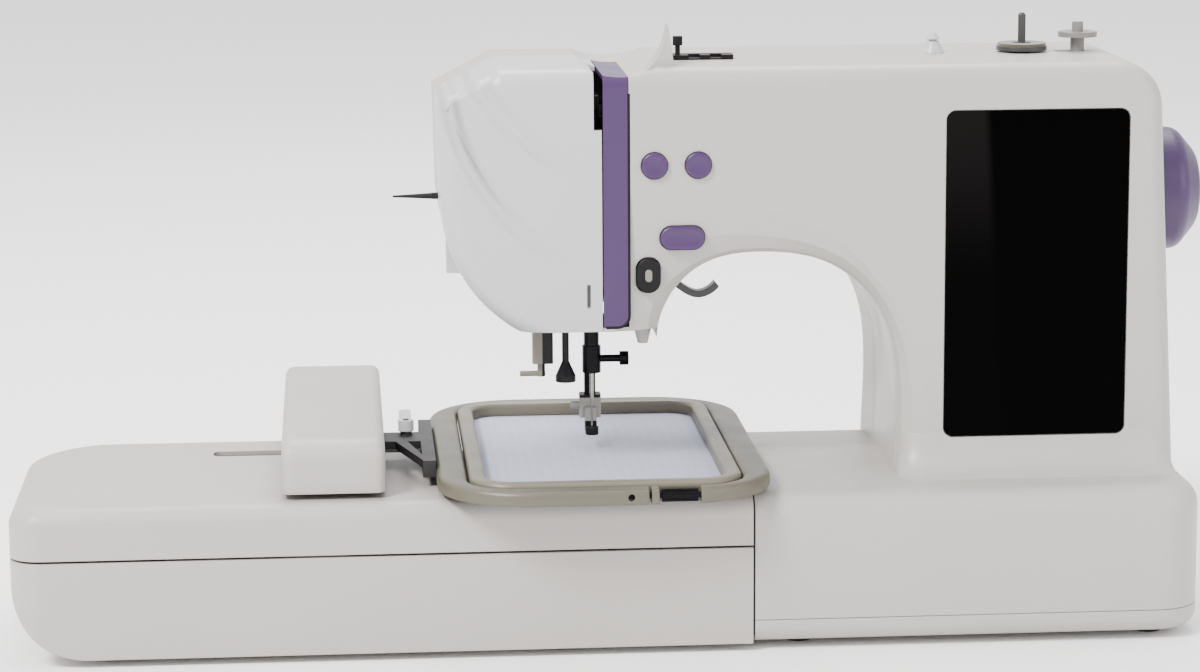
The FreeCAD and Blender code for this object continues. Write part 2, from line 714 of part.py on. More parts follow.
bushes = []
for side in ("left", "right"):
    start = (f"bush_{side}_x", "0", "shaft_z")
    bushes.append(cut(f"bush_{side}", rod(f"bush_outer_{side}", "bush_radius", start, "bush_length", "x"),
                      rod(f"bush_bore_{side}", "shaft_radius + 0.05", start, "bush_length", "x")))
node(join("shaft_bushes", *bushes))


def pulley(name, x, width, radius, y, z):
    """A belt pulley with two flanges, about an axis along X."""
    return join(name, rod(f"{name}_drum", radius, (x, y, z), width, "x"),
                rod(f"{name}_flange_a", f"{radius} + flange", (x, y, z), "flange", "x"),
                rod(f"{name}_flange_b", f"{radius} + flange", (f"{x} + {width} - flange", y, z), "flange", "x"))


shaft_axis = ("0", "shaft_z")
crank = rod("crank", "crank_radius", ("shaft_left", *shaft_axis), "crank_thick", "x")
crank_flat = block("crank_flat", ("shaft_left - 1", "shaft_left + crank_thick + 1"), ("-crank_radius", "crank_radius"),
                   ("shaft_z + crank_radius - 5", "shaft_z + crank_radius + 1"))
node(join("main_shaft", cut("crank_web", crank, crank_flat),
          rod("shaft_rod", "shaft_radius", ("shaft_left", *shaft_axis), "wheel_dish + 12 - shaft_left", "x"),
          pulley("belt_wheel", "belt_wheel_x", "belt_wheel_width", "belt_wheel_radius", *shaft_axis),
          pulley("timing_wheel", "timing_x", "timing_width", "timing_radius", *shaft_axis)))

low_axis = ("low_shaft_y", "low_shaft_z")
node(join("lower_shaft", rod("low_rod", "shaft_radius", ("needle_x - 10", *low_axis), "252 - needle_x + 10", "x"),
          rod("low_gear", "9.2", ("needle_x - 5", *low_axis), "10", "x"),
          pulley("low_pulley", "timing_x", "timing_width", "timing_radius", *low_axis)))

motor_axis = ("motor_y", "motor_z")
motor_can = rod("motor_can", "motor_radius", ("motor_left", *motor_axis), "motor_length", "x")
motor_cap = rod("motor_cap", "motor_radius - 6", ("motor_left - 6", *motor_axis), "6", "x")
motor_bore = rod("motor_bore", "2.55", ("motor_left + motor_length - 20", *motor_axis), "21", "x")
node(cut("main_motor", join("motor_blank", motor_can, motor_cap), motor_bore))
node(join("motor_pulley", rod("motor_rotor", "2.5", ("motor_left + motor_length - 19", *motor_axis), "46", "x"),
          pulley("motor_wheel", "belt_wheel_x", "belt_wheel_width", "motor_pulley", *motor_axis)))


def belt_loop(first, first_radius, second, second_radius):
    """The area inside a belt that runs round two pulleys, as a face in the YZ plane."""
    line = second - first
    along = line.normalize()
    across = Vector(0, -along.z, along.y)
    sine = (first_radius - second_radius) / (second - first).Length
    cosine = (1 - sine * sine) ** 0.5
    left = along * sine + across * cosine
    right = along * sine - across * cosine
    far_tip = second + along * second_radius
    near_tip = first - along * first_radius
    edges = [Part.makeLine(first + left * first_radius, second + left * second_radius),
             Part.Arc(second + left * second_radius, far_tip, second + right * second_radius).toShape(),
             Part.makeLine(second + right * second_radius, first + right * first_radius),
             Part.Arc(first + right * first_radius, near_tip, first + left * first_radius).toShape()]
    return Part.Face(Part.Wire(edges))


def belt(name, x, width, first, first_radius, second, second_radius):
    """A closed belt round two pulleys, a hair clear of both."""
    thick = read("belt_thick")
    centres = [Vector(x, *first), Vector(x, *second)]
    outer = belt_loop(centres[0], first_radius + thick, centres[1], second_radius + thick)
    inner = belt_loop(centres[0], first_radius, centres[1], second_radius)
    return node(solid(name, outer.cut(inner).extrude(Vector(width, 0, 0))))


flange = read("flange")
clear = read("fit") + 0.1
wheel_centre = (0, read("shaft_z"))
belt("motor_belt", read("belt_wheel_x") + flange + clear, read("belt_wheel_width") - 2 * (flange + clear),
     (read("motor_y"), read("motor_z")), read("motor_pulley") + clear, wheel_centre,
     read("belt_wheel_radius") + clear)
belt("timing_belt", read("timing_x") + flange + clear, read("timing_width") - 2 * (flange + clear),
     (read("low_shaft_y"), read("low_shaft_z")), read("timing_radius") + clear, wheel_centre,
     read("timing_radius") + clear)


# ---------------------------------------------------------------- hand wheel, turned about the main shaft

def closed_sketch(body, name, plane, points):
    """A closed sketch whose corners are named cells of the sheet, measured from the body's origin."""
    sketch = body.newObject("Sketcher::SketchObject", name)
    origin = [item for item in body.Origin.OriginFeatures if item.Role == plane][0]
    sketch.AttachmentSupport = [(origin, "")]
    sketch.MapMode = "FlatFace"
    corners = [Vector(read(x), read(y), 0) for x, y in points]
    count = len(corners)
    for index in range(count):
        sketch.addGeometry(Part.LineSegment(corners[index], corners[(index + 1) % count]), False)
    for index in range(count):
        sketch.addConstraint(Sketcher.Constraint("Coincident", index, 2, (index + 1) % count, 1))
    for index, (x, y) in enumerate(points):
        for kind, alias, value in (("DistanceX", x, corners[index].x), ("DistanceY", y, corners[index].y)):
            number = sketch.addConstraint(Sketcher.Constraint(kind, -1, 1, index, 1, value))
            sketch.setExpression(f"Constraints[{number}]", rule(alias))
    return sketch


wheel = doc.addObject("PartDesign::Body", "hand_wheel")
wheel.setExpression("Placement.Base.z", rule("shaft_z"))
wheel_sketch = closed_sketch(wheel, "wheel_outline", "XZ_Plane", [
    ("wheel_inner", "wheel_bore"), ("wheel_inner", "wheel_hub"), ("wheel_dish", "wheel_hub"),
    ("wheel_dish", "wheel_web_radius"), ("wheel_inner", "wheel_web_radius"), ("wheel_inner", "wheel_radius"),
    ("wheel_rim", "wheel_radius"), ("wheel_face", "wheel_crown_radius"), ("wheel_face", "wheel_bore")])
wheel_turn = wheel.newObject("PartDesign::Revolution", "wheel_turn")
wheel_turn.Profile = wheel_sketch
wheel_turn.ReferenceAxis = (wheel_sketch, ["H_Axis"])
wheel_turn.Angle = 360
doc.recompute()
rim_edges = []
for number, edge in enumerate(wheel_turn.Shape.Edges, start=1):
    radius = getattr(edge.Curve, "Radius", 0)
    if abs(radius - read("wheel_crown_radius")) < 0.1 or (
            abs(radius - read("wheel_radius")) < 0.1 and edge.BoundBox.XMin > read("wheel_rim") - 1):
        rim_edges.append(f"Edge{number}")
wheel_round = wheel.newObject("PartDesign::Fillet", "wheel_round")
wheel_round.Base = (wheel_turn, rim_edges)
wheel_round.setExpression("Radius", rule("wheel_round_radius"))
node(wheel)

# ---------------------------------------------------------------- needle bar, presser bar and threader

needle_axis = ("needle_x", "0")
node(rod("needle_bar", "bar_radius", (*needle_axis, "bar_low"), "bar_top - bar_low"))
clamp_sleeve = rod("clamp_sleeve", "clamp_radius", (*needle_axis, "clamp_low"), "clamp_top - clamp_low")
clamp_bore = rod("clamp_bore", "bar_radius", (*needle_axis, "bar_low"), "20")
shank_bore = rod("shank_bore", "shank_radius", (*needle_axis, "clamp_low - 1"), "20")
screw_bore = rod("screw_bore", "screw_radius", ("needle_x + bar_radius", "0", "clamp_screw_z"), "10", "x")
node(cut("needle_clamp", clamp_sleeve, clamp_bore, shank_bore, screw_bore))
screw_shaft = rod("screw_shaft", "screw_radius", ("needle_x + bar_radius", "0", "clamp_screw_z"),
                  "screw_reach - bar_radius - screw_head_thick", "x")
screw_knob = rod("screw_knob", "screw_head", ("needle_x + screw_reach - screw_head_thick", "0", "clamp_screw_z"),
                 "screw_head_thick", "x")
node(join("clamp_screw", screw_shaft, screw_knob))
node(join("needle", rod("needle_shank", "shank_radius", (*needle_axis, "needle_shank_low"),
                        "bar_low - needle_shank_low"),
          rod("needle_blade", "needle_radius", (*needle_axis, "needle_tip + 3"),
              "needle_shank_low - needle_tip - 3"),
          taper("needle_point", "0.05", "needle_radius", (*needle_axis, "needle_tip"), "3")))

presser_axis = ("needle_x", "presser_y")
node(rod("presser_bar", "presser_radius", (*presser_axis, "presser_low"), "presser_top - presser_low"))
foot_holder = slab("foot_holder", ("needle_x - 5.5", "needle_x + 5.5"), ("presser_y - 4.5", "presser_y + 4.5"),
                   ("presser_low - 2", "presser_low + 10"), "1.5")
foot_socket = rod("foot_socket", "presser_radius", (*presser_axis, "presser_low"), "20")
foot_arm = block("foot_arm", ("needle_x - 3", "needle_x + 3"), ("6", "presser_y - 3"),
                 ("foot_low", "presser_low + 4"))
foot_tongue = block("foot_tongue", ("needle_x - 2", "needle_x + 2"), ("2", "8"), ("foot_low", "foot_low + 3"))
foot_ring = rod("foot_ring_disc", "foot_ring", (*needle_axis, "foot_low"), "4")
foot_hole = rod("foot_hole_bore", "foot_hole", (*needle_axis, "foot_low - 1"), "8")
foot_wing = rod("foot_wing", "2", ("needle_x - 10", "presser_y", "presser_low + 4"), "6", "x")
node(cut("embroidery_foot", join("foot_blank", foot_holder, foot_arm, foot_tongue, foot_ring, foot_wing),
         foot_socket, foot_hole))

threader_bar = slab("threader_bar", ("needle_x - 30.5", "needle_x - 20"), ("-5", "5"), ("129.5", "219"), "1.5")
threader_pin = rod("threader_pin", "1.4", ("needle_x - 37", "0", "123.8"), "13", "x")
threader_post = rod("threader_post", "2", ("needle_x - 26", "0", "122.4"), "9")
threader_neck = block("threader_neck", ("needle_x - 21", "needle_x - 12"), ("-4.8", "-1.2"), ("158", "166"))
threader_rod = rod("threader_rod", "1.8", ("needle_x - 13.6", "-3", "129"), "37")
threader_stem = taper("threader_stem", "5.2", "1.8", ("needle_x - 13.6", "-3", "123"), "7.5")
threader_cap = rod("threader_cap", "5.2", ("needle_x - 13.6", "-3", "120"), "3")
threader_link = block("threader_link", ("head_left - 2", "needle_x - 21"), ("-1.5", "1.5"), ("215.5", "218.5"))
threader_tip = taper("threader_tip", "0.5", "1.6", ("head_left - 22", "0", "217"), "21", "x")
node(join("needle_threader", threader_bar, threader_pin, threader_post, threader_neck, threader_rod, threader_stem,
          threader_cap, threader_link, threader_tip))


def lever_shape():
    """The curved presser foot lever, as one bar of even thickness, seen from the front."""
    half = 1.8
    path = [(10, 176), (24, 171), (36, 164.5), (43, 159.5), (49, 157.4), (54, 158.6), (59, 162.6)]
    upper = []
    lower = []
    for index, (x, z) in enumerate(path):
        before = path[max(index - 1, 0)]
        after = path[min(index + 1, len(path) - 1)]
        run = Vector(after[0] - before[0], 0, after[1] - before[1]).normalize()
        upper.append(Vector(x - run.z * half, 0, z + run.x * half))
        lower.append(Vector(x + run.z * half, 0, z - run.x * half))
    curves = []
    for points in (upper, lower[::-1]):
        curve = Part.BSplineCurve()
        curve.interpolate(points)
        curves.append(curve.toShape())
    edges = [curves[0], Part.makeLine(upper[-1], lower[-1]), curves[1], Part.makeLine(lower[0], upper[0])]
    low_y = read("frame_back") + 0.4
    bar = Part.Face(Part.Wire(edges)).extrude(Vector(0, 7, 0))
    bar.translate(Vector(0, low_y, 0))
    hub = Part.makeCylinder(5, 7, Vector(10, low_y, 176), Vector(0, 1, 0))
    bore = Part.makeCylinder(2.5, 9, Vector(10, low_y - 1, 176), Vector(0, 1, 0))
    return bar.fuse(hub).cut(bore)


node(solid("presser_lever", lever_shape()))


def take_up_shape():
    """The take-up lever: a plate from its pin that jogs across in front of the needle bar."""
    pivot_y = 8
    pivot_z = read("guide_high") + 5
    x = read("needle_x")
    hub = Part.makeCylinder(3.6, 2.4, Vector(x + 5.8, pivot_y, pivot_z), Vector(1, 0, 0))
    bore = Part.makeCylinder(2, 4, Vector(x + 5, pivot_y, pivot_z), Vector(1, 0, 0))
    reach = ((pivot_y, pivot_z - 3), (-30, pivot_z + 9), (-30, pivot_z + 15), (pivot_y, pivot_z + 3))
    arm = Part.Face(Part.makePolygon([Vector(x + 5.8, y, z) for y, z in reach + reach[:1]]))
    jog = span((x - 1.1, -32, pivot_z + 9), (x + 8.2, -28, pivot_z + 15))
    finger = ((-31, pivot_z + 9), (-44, pivot_z + 20), (-47, pivot_z + 27), (-41, pivot_z + 27), (-28, pivot_z + 15))
    tip = Part.Face(Part.makePolygon([Vector(x - 1.1, y, z) for y, z in finger + finger[:1]]))
    eye = Part.makeCylinder(1.1, 6, Vector(x - 3, -44, pivot_z + 24), Vector(1, 0, 0))
    return hub.fuse([arm.extrude(Vector(2.4, 0, 0)), jog, tip.extrude(Vector(2.2, 0, 0))]).cut(bore).cut(eye)


node(solid("take_up_lever", take_up_shape()))

# ---------------------------------------------------------------- buttons, screen and board


def button(name, cap, x, z):
    """A button: its cap with a stem behind it that stops it tilting."""
    stem = rod(f"{name}_stem", "button_stem", (x, "arm_front", z), "button_length + 3", "y")
    return node(join(name, cap, stem))


for side in ("left", "right"):
    x = f"round_button_{side}"
    cap = rod(f"round_cap_{side}", "round_button", (x, "arm_front - button_proud", "round_button_z"),
              "button_length", "y")
    button(f"{side}_button", cap, x, "round_button_z")
wide_cap = slab("wide_cap", ("wide_button_x - wide_button_half", "wide_button_x + wide_button_half"),
                ("arm_front - 1", "arm_front + button_length"),
                ("wide_button_z - wide_button_radius", "wide_button_z + wide_button_radius"),
                "wide_button_radius - 0.1", "y")
button("wide_button", wide_cap, "wide_button_x", "wide_button_z")
start_cap = slab("start_cap", ("start_button_x - start_button_radius", "start_button_x + start_button_radius"),
                 ("arm_front + 0.2", "arm_front + button_length"),
                 ("start_button_z - start_button_half", "start_button_z + start_button_half"),
                 "start_button_radius - 0.1", "y")
button("start_button", start_cap, "start_button_x", "start_button_z")

node(slab("screen_glass", ("screen_left", "screen_right"), ("arm_front + 0.1", "arm_front + screen_thick"),
          ("screen_low", "screen_top"), "screen_corner", "y"))
display = block("display_module", ("screen_left + 4", "screen_right - 4"), ("arm_front + wall + 0.5", "arm_front + 9"),
                ("screen_low + 8", "screen_top - 4"))
board = block("board_plate", ("screen_left + 1", "screen_right - 1"), ("arm_front + 9", "arm_front + 10.6"),
              ("screen_low + 6", "screen_top - 2"))
node(join("control_board", display, board))

inlet_body = slab("inlet_body", ("base_right - 14", "base_right + 0.4"), ("24", "46"), ("22", "36"), "1", "x")
inlet_well = slab("inlet_well", ("base_right - 11", "base_right + 2"), ("27", "43"), ("25", "33"), "3", "x")
inlet_pins = [rod(f"inlet_pin_{count}", "1.1", ("base_right - 12", y, "29"), "9", "x")
              for count, y in enumerate(("31", "39"))]
node(join("power_inlet", cut("inlet_shell", inlet_body, inlet_well), *inlet_pins))
node(slab("power_switch", ("base_right - 6", "base_right + 2"), ("28", "42"), ("42.8", "57.2"), "0.8", "y"))

# ---------------------------------------------------------------- thread path on top

spool_axis = ("spool_x", "spool_y")
node(join("spool_pin", rod("spool_seat", "spool_disc", (*spool_axis, "arm_top + 1"), "2"),
          rod("spool_hub", "4.5", (*spool_axis, "arm_top"), "5"),
          rod("spool_root", "2.9", (*spool_axis, "arm_top - 5"), "6"),
          rod("spool_rod", "2", (*spool_axis, "arm_top"), "spool_tip - arm_top - 1"),
          taper("spool_nose", "2", "1", (*spool_axis, "spool_tip - 1"), "1")))
node(cut("spool_felt", rod("felt_disc", "spool_disc - 0.6", (*spool_axis, "arm_top + 3"), "1.6"),
         rod("felt_hole", "4.5", (*spool_axis, "arm_top + 2"), "4")))

winder_axis = ("winder_x", "spool_y")
winder_shoe = block("winder_shoe", ("winder_x - 8", "winder_x + 8"), ("spool_y - 8", "spool_y + 8"),
                    ("arm_top - 14", "arm_top - 5"))
winder_post = rod("winder_post", "3.6", (*winder_axis, "arm_top - 6"), "13")
winder_bore = rod("winder_bore", "1.55", (*winder_axis, "arm_top + 1"), "10")
node(cut("winder_arm", join("winder_blank", winder_shoe, winder_post), winder_bore))
node(join("winder_spindle", rod("winder_rod", "1.5", (*winder_axis, "arm_top + 1.5"), "9"),
          rod("winder_disc", "winder_head", (*winder_axis, "arm_top + 7.4"), "2.6"),
          rod("winder_nose", "2.9", (*winder_axis, "arm_top + 9"), "6")))

post_axis = ("post_x", "spool_y")
node(join("thread_post", taper("post_skirt", "6", "3", (*post_axis, "arm_top"), "6"),
          rod("post_neck", "2", (*post_axis, "arm_top + 5"), "2"),
          taper("post_head", "3.6", "1.6", (*post_axis, "arm_top + 7"), "3")))
guide_plate = slab("guide_plate", ("needle_x + 37", "needle_x + 72"), ("-15", "-3"), ("arm_top", "arm_top + 2.4"), "2")
guide_gates = [block(f"guide_gate_{count}", (f"needle_x + {x}", f"needle_x + {x} + 6"), ("-16", "-8"),
                     ("arm_top + 0.8", "arm_top + 4")) for count, x in enumerate(("49", "60"))]
guide_peg = rod("guide_peg", "1.3", ("needle_x + 44", "-9", "arm_top + 2"), "8")
guide_knob = rod("guide_knob", "2.5", ("needle_x + 44", "-9", "arm_top + 7"), "4.6")
node(join("top_thread_guide", cut("guide_slotted", guide_plate, *guide_gates), guide_peg, guide_knob))
node(join("work_light", taper("light_cone", "2.6", "5.4", ("14.3", "-25", "head_bottom - 11.5"), "11.5"),
          rod("light_rim", "5.6", ("14.3", "-25", "head_bottom - 2"), "2")))

# ---------------------------------------------------------------- embroidery unit


def unit_body(inset):
    """The embroidery unit's L-shaped body round the free arm, drawn in by an inset."""
    left = read("unit_left") + inset
    right = read("unit_right") - inset
    front = read("bed_front") + inset
    back = read("bed_back") - inset
    inner = read("unit_inner") - inset
    leg = read("unit_leg_back") - inset
    low = read("foot_height") + inset
    high = read("bed_top") - inset
    corner = read("unit_corner") - inset
    tail = read("unit_tail") - inset
    diagonal = 1 - 0.5 ** 0.5
    edges = [Part.makeLine(Vector(left, back - tail, low), Vector(left, front + corner, low)),
             Part.Arc(Vector(left, front + corner, low),
                      Vector(left + corner * diagonal, front + corner * diagonal, low),
                      Vector(left + corner, front, low)).toShape()]
    edges += [Part.makeLine(Vector(*a, low), Vector(*b, low)) for a, b in (
        ((left + corner, front), (right, front)), ((right, front), (right, leg)), ((right, leg), (inner, leg)),
        ((inner, leg), (inner, back)), ((inner, back), (left + tail * 0.6, back)))]
    edges.append(Part.Arc(Vector(left + tail * 0.6, back, low),
                          Vector(left + tail * 0.16, back - tail * 0.32, low),
                          Vector(left, back - tail, low)).toShape())
    plan = Part.Face(Part.Wire(edges)).extrude(Vector(0, 0, high - low))
    bow = read("unit_bow") - inset
    side = polyline([(left + bow, low), (right + 1, low), (right + 1, high), (left, high), (left, low + bow)],
                    front - 1)
    side.append(Part.Arc(Vector(left, front - 1, low + bow),
                         Vector(left + bow * diagonal, front - 1, low + bow * diagonal),
                         Vector(left + bow, front - 1, low)).toShape())
    body = plan.common(Part.Face(Part.Wire(side)).extrude(Vector(0, back - front + 2, 0)))

    def on_top(edge):
        box = edge.BoundBox
        outside_leg = box.YMax < front + corner + 1 or box.XMin < inner - 30 and box.XMax < inner + 1
        return box.ZMin > high - 0.1 and outside_leg and not (box.XLength < 0.1 and box.XMin > inner - 1)

    return rounded(body, read("unit_edge") - inset, on_top)


unit_inside = unit_body(wall)
unit_skin = unit_body(0).cut(unit_inside)
upper_low = read("unit_seam") + read("unit_groove") / 2
lower_top = read("unit_seam") - read("unit_groove") / 2
unit_upper = solid("unit_upper_shell", unit_skin.common(
    span((-FAR, -FAR, upper_low), (FAR, FAR, FAR))).removeSplitter())
carriage_slot = slab("carriage_slot", ("-206", "-84"), ("22", "34"), ("bed_top - 8", "bed_top + 3"), "4")
node(cut("unit_upper_case", unit_upper, carriage_slot))
unit_lower = solid("unit_lower_shell", unit_skin.common(
    span((-FAR, -FAR, 0), (FAR, FAR, lower_top))).removeSplitter())
RAIL_ROWS = ("12", "44")
rail_posts = [block(f"rail_post_{count}", (x, f"{x} + 7"), ("4", "52"), ("foot_height + 2", "46"))
              for count, x in enumerate(("-268", "-87"))]
node(join("unit_lower_case", unit_lower, *rail_posts))
node(join("unit_rails", *[rod(f"rail_{count}", "4", ("-261", y, "38"), "174", "x")
                          for count, y in enumerate(RAIL_ROWS)]))
motor_box = slab("unit_motor_box", ("-262", "-228"), ("-66", "-24"), ("foot_height + wall", "foot_height + wall + 42"),
                 "4")
node(join("unit_motor", motor_box, rod("unit_motor_shaft", "2.5", ("-228", "-45", "28"), "16", "x"),
          rod("unit_motor_pulley", "8", ("-226", "-45", "28"), "10", "x")))


def carriage_body(inset):
    """The carriage cover's outer form, drawn in by an inset: a long box with soft upper edges."""
    low = (read("carriage_left") + inset, read("carriage_front") + inset, read("carriage_low"))
    high = (read("carriage_right") - inset, read("carriage_back") - inset, read("carriage_top") - inset)
    body = rounded(span(low, high), read("carriage_brow") - inset,
                   lambda edge: edge.BoundBox.ZMin > high[2] - 0.1 and edge.BoundBox.XLength > 5)
    return rounded(body, read("carriage_edge") - inset,
                   lambda edge: edge.BoundBox.XLength < 0.1 and edge.BoundBox.ZMax > low[2] + 1)


thin = 2
carriage_skin = solid("carriage_skin", carriage_body(0).cut(carriage_body(thin)))
bracket_slot = block("bracket_slot", ("carriage_right - 5", "carriage_right + 3"), ("-78", "118"), ("87", "97"))
node(cut("carriage_cover", carriage_skin, bracket_slot))
carriage_plate = slab("carriage_plate", ("carriage_left + 2.2", "carriage_right - 2.2"),
                      ("carriage_front + 2.2", "carriage_back - 2.2"), ("carriage_low", "carriage_low + 2"), "5")
carriage_neck = block("carriage_neck", ("-149", "-139"), ("24", "32"), ("48", "carriage_low + 1"))
carriage_shoe = block("carriage_shoe", ("-151", "-138.5"), ("5", "51"), ("30", "50"))
shoe_bores = [rod(f"shoe_bore_{count}", "4.05", ("-152", y, "38"), "15", "x") for count, y in enumerate(RAIL_ROWS)]
y_rail = rod("hoop_rail", "3", ("-137", "-80", "94"), "200", "y")
rail_ends = [block(f"hoop_rail_end_{count}", ("-143", "-131"), (y, f"{y} + 3"), ("carriage_low + 1", "99"))
             for count, y in enumerate(("-83", "120"))]
node(join("carriage_base", cut("shoe_bored", carriage_shoe, *shoe_bores), carriage_neck, carriage_plate, y_rail,
          *rail_ends))

# ---------------------------------------------------------------- hoop on its bracket

bracket_shoe = block("bracket_shoe", ("-148", "-124"), ("-18", "13"), ("88", "100"))
shoe_bore = rod("bracket_bore", "3.05", ("-137", "-19", "94"), "33", "y")
bracket_arm = block("bracket_arm", ("-126", "-97"), ("-14", "9"), ("88.5", "92.5"))
bracket_bar = block("bracket_bar", ("-99", "needle_x - hoop_half_x"), ("-62", "40"), ("84", "92.5"))
bracket_post = rod("bracket_post", "3", ("-106", "4", "92"), "2.2")
bracket_pin = rod("bracket_pin", "1.5", ("-106", "4", "92"), "8.4")


def brace_shape():
    """The slanting brace from the bracket's arm forward to the hoop."""
    foot = [(-112, -13), (-106, -13), (-97, -56), (-99, -60)]
    corners = [Vector(x, y, 88.5) for x, y in foot]
    return Part.Face(Part.makePolygon(corners + corners[:1])).extrude(Vector(0, 0, 4))


node(join("hoop_bracket", cut("bracket_bored", bracket_shoe, shoe_bore), bracket_arm, bracket_bar, bracket_post,
          bracket_pin, solid("bracket_brace", brace_shape())))
lever_hub = rod("lever_hub", "4", ("-106", "4", "94.4"), "5.6")
lever_grip = slab("lever_grip", ("-109", "-103"), ("4", "38"), ("94.4", "98.6"), "2.5")
lever_bore = rod("lever_bore", "1.55", ("-106", "4", "94"), "7")
node(cut("hoop_lever", join("lever_blank", lever_hub, lever_grip), lever_bore))


def hoop_slab(name, grow, low, high, corner):
    """A slab the size of the hoop's window, let out by a margin on every side."""
    half_x = f"window_half_x + {grow}"
    half_y = f"window_half_y + {grow}"
    return slab(name, (f"needle_x - ({half_x})", f"needle_x + {half_x}"),
                (f"hoop_y - ({half_y})", f"hoop_y + {half_y}"), (low, high), corner)


inner_wide = hoop_slab("inner_hoop_wide", "inner_hoop_width", "inner_hoop_low", "inner_hoop_top",
                       "window_corner + inner_hoop_width")
inner_window = hoop_slab("inner_hoop_window", "0", "inner_hoop_low - 1", "inner_hoop_top + 1", "window_corner")
node(cut("inner_hoop", inner_wide, inner_window))

outer_wide = slab("outer_hoop_wide", ("needle_x - hoop_half_x", "needle_x + hoop_half_x"),
                  ("hoop_y - hoop_half_y", "hoop_y + hoop_half_y"), ("outer_hoop_low", "outer_hoop_top"),
                  "hoop_corner")
outer_window = hoop_slab("outer_hoop_window", "inner_hoop_width + outer_hoop_gap", "outer_hoop_low - 1",
                         "outer_hoop_top + 1", "window_corner + inner_hoop_width + outer_hoop_gap")
hoop_front = "hoop_y - hoop_half_y"
hoop_split = block("hoop_split", ("8.5", "9.9"), (f"{hoop_front} - 2", f"{hoop_front} + 20"), ("80", "96"))
screw_room = block("hoop_screw_room", ("13.5", "34"), (f"{hoop_front} - 2", f"{hoop_front} + 8"), ("80", "96"))
screw_way = rod("hoop_screw_way", "1.65", ("-3", f"{hoop_front} + 4.2", "hoop_screw_z"), "45", "x")
node(cut("outer_hoop", outer_wide, outer_window, hoop_split, screw_room, screw_way))
node(join("hoop_screw", rod("hoop_screw_rod", "1.6", ("-2", f"{hoop_front} + 4.2", "hoop_screw_z"), "43", "x"),
          rod("hoop_screw_knob", "3.2", ("15", f"{hoop_front} + 4.2", "hoop_screw_z"), "17.5", "x")))

fabric_wide = hoop_slab("fabric_wide", "inner_hoop_width", "inner_hoop_low - fabric_thick", "inner_hoop_low",
                        "window_corner + inner_hoop_width")
fabric_field = hoop_slab("fabric_field", "-fabric_grip", "inner_hoop_low - 2", "inner_hoop_low + 1",
                         "window_corner - fabric_grip")
node(cut("hoop_fabric", fabric_wide, fabric_field))

FEET = (("88", "-74"), ("266", "-74"), ("88", "44"), ("266", "44"), ("-254", "-78"), ("-31", "-78"), ("-230", "38"),
        ("-98", "38"))
feet = [taper(f"foot_pad_{count}", "7", "8", (x, y, "0"), "foot_height") for count, (x, y) in enumerate(FEET)]
node(join("rubber_feet", *feet))

# ---------------------------------------------------------------- checks and files

doc.recompute()
for item in doc.Objects:
    if "Invalid" in item.State or "Error" in item.State:
        raise RuntimeError(f"{item.Label} did not compute: {item.State}")
for item in NODES:
    if item.Shape.isNull() or not item.Shape.isValid():
        raise RuntimeError(f"{item.Label} has no valid shape")

os.makedirs("parts", exist_ok=True)
for item in NODES:
    item.Shape.exportStep(f"parts/{item.Label}.step")
    print(f"{item.Label}: {len(item.Shape.Solids)} solids, {item.Shape.Volume / 1000:.1f} cm3")
print(len(NODES), "sub-parts")
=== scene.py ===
# %% [markdown]
# # A sewing and embroidery machine, finished in Blender
# The working parts come from a CAD model that is loaded as a fixed frame. This lesson gives them
# real finishes, and models by hand what CAD leaves plain: the hoop's soft rails, the cloth in it,
# the button caps and the knurled screws. Everything is in metres, in the frame's own axes:
# +X towards the hand wheel, +Y away from the person sewing, +Z up.

import math

import bmesh
import bpy
from mathutils import Matrix, Vector


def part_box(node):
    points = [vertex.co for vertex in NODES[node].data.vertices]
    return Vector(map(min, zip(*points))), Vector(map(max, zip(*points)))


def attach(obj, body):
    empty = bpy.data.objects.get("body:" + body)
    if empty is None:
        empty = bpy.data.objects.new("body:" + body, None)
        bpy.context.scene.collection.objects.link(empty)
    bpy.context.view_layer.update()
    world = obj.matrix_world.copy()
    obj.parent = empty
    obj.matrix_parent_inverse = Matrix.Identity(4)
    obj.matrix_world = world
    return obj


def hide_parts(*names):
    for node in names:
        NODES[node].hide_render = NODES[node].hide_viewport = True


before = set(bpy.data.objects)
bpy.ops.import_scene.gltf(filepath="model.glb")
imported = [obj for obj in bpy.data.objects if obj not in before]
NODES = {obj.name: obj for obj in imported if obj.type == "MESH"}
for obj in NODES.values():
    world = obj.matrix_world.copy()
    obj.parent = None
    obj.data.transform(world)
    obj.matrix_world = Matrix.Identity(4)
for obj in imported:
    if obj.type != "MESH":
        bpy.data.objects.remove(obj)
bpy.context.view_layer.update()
MM = 0.001

# %% [markdown]
# ## Small tools for materials
# Colours are easiest to read as the hex codes that painters and screens use, but a shader wants
# linear light, so one function converts them. Another adds a shader node with its settings and
# links in one call, which keeps each material short enough to read as a recipe.


# %% Colour and node helpers
def from_hex(code):
    """An sRGB hex colour as linear red, green, blue and alpha."""
    parts = [int(code[start:start + 2], 16) / 255 for start in (1, 3, 5)]
    linear = [part / 12.92 if part <= 0.04045 else ((part + 0.055) / 1.055) ** 2.4
              for part in parts]
    return (*linear, 1.0)


def add(tree, kind, inputs=None, **settings):
    """Add one node. inputs gives each socket a number, a colour or another node's output."""
    made = tree.nodes.new(kind)
    for key, value in settings.items():
        setattr(made, key, value)
    for key, value in (inputs or {}).items():
        if isinstance(value, bpy.types.NodeSocket):
            tree.links.new(value, made.inputs[key])
        else:
            made.inputs[key].default_value = value
    return made


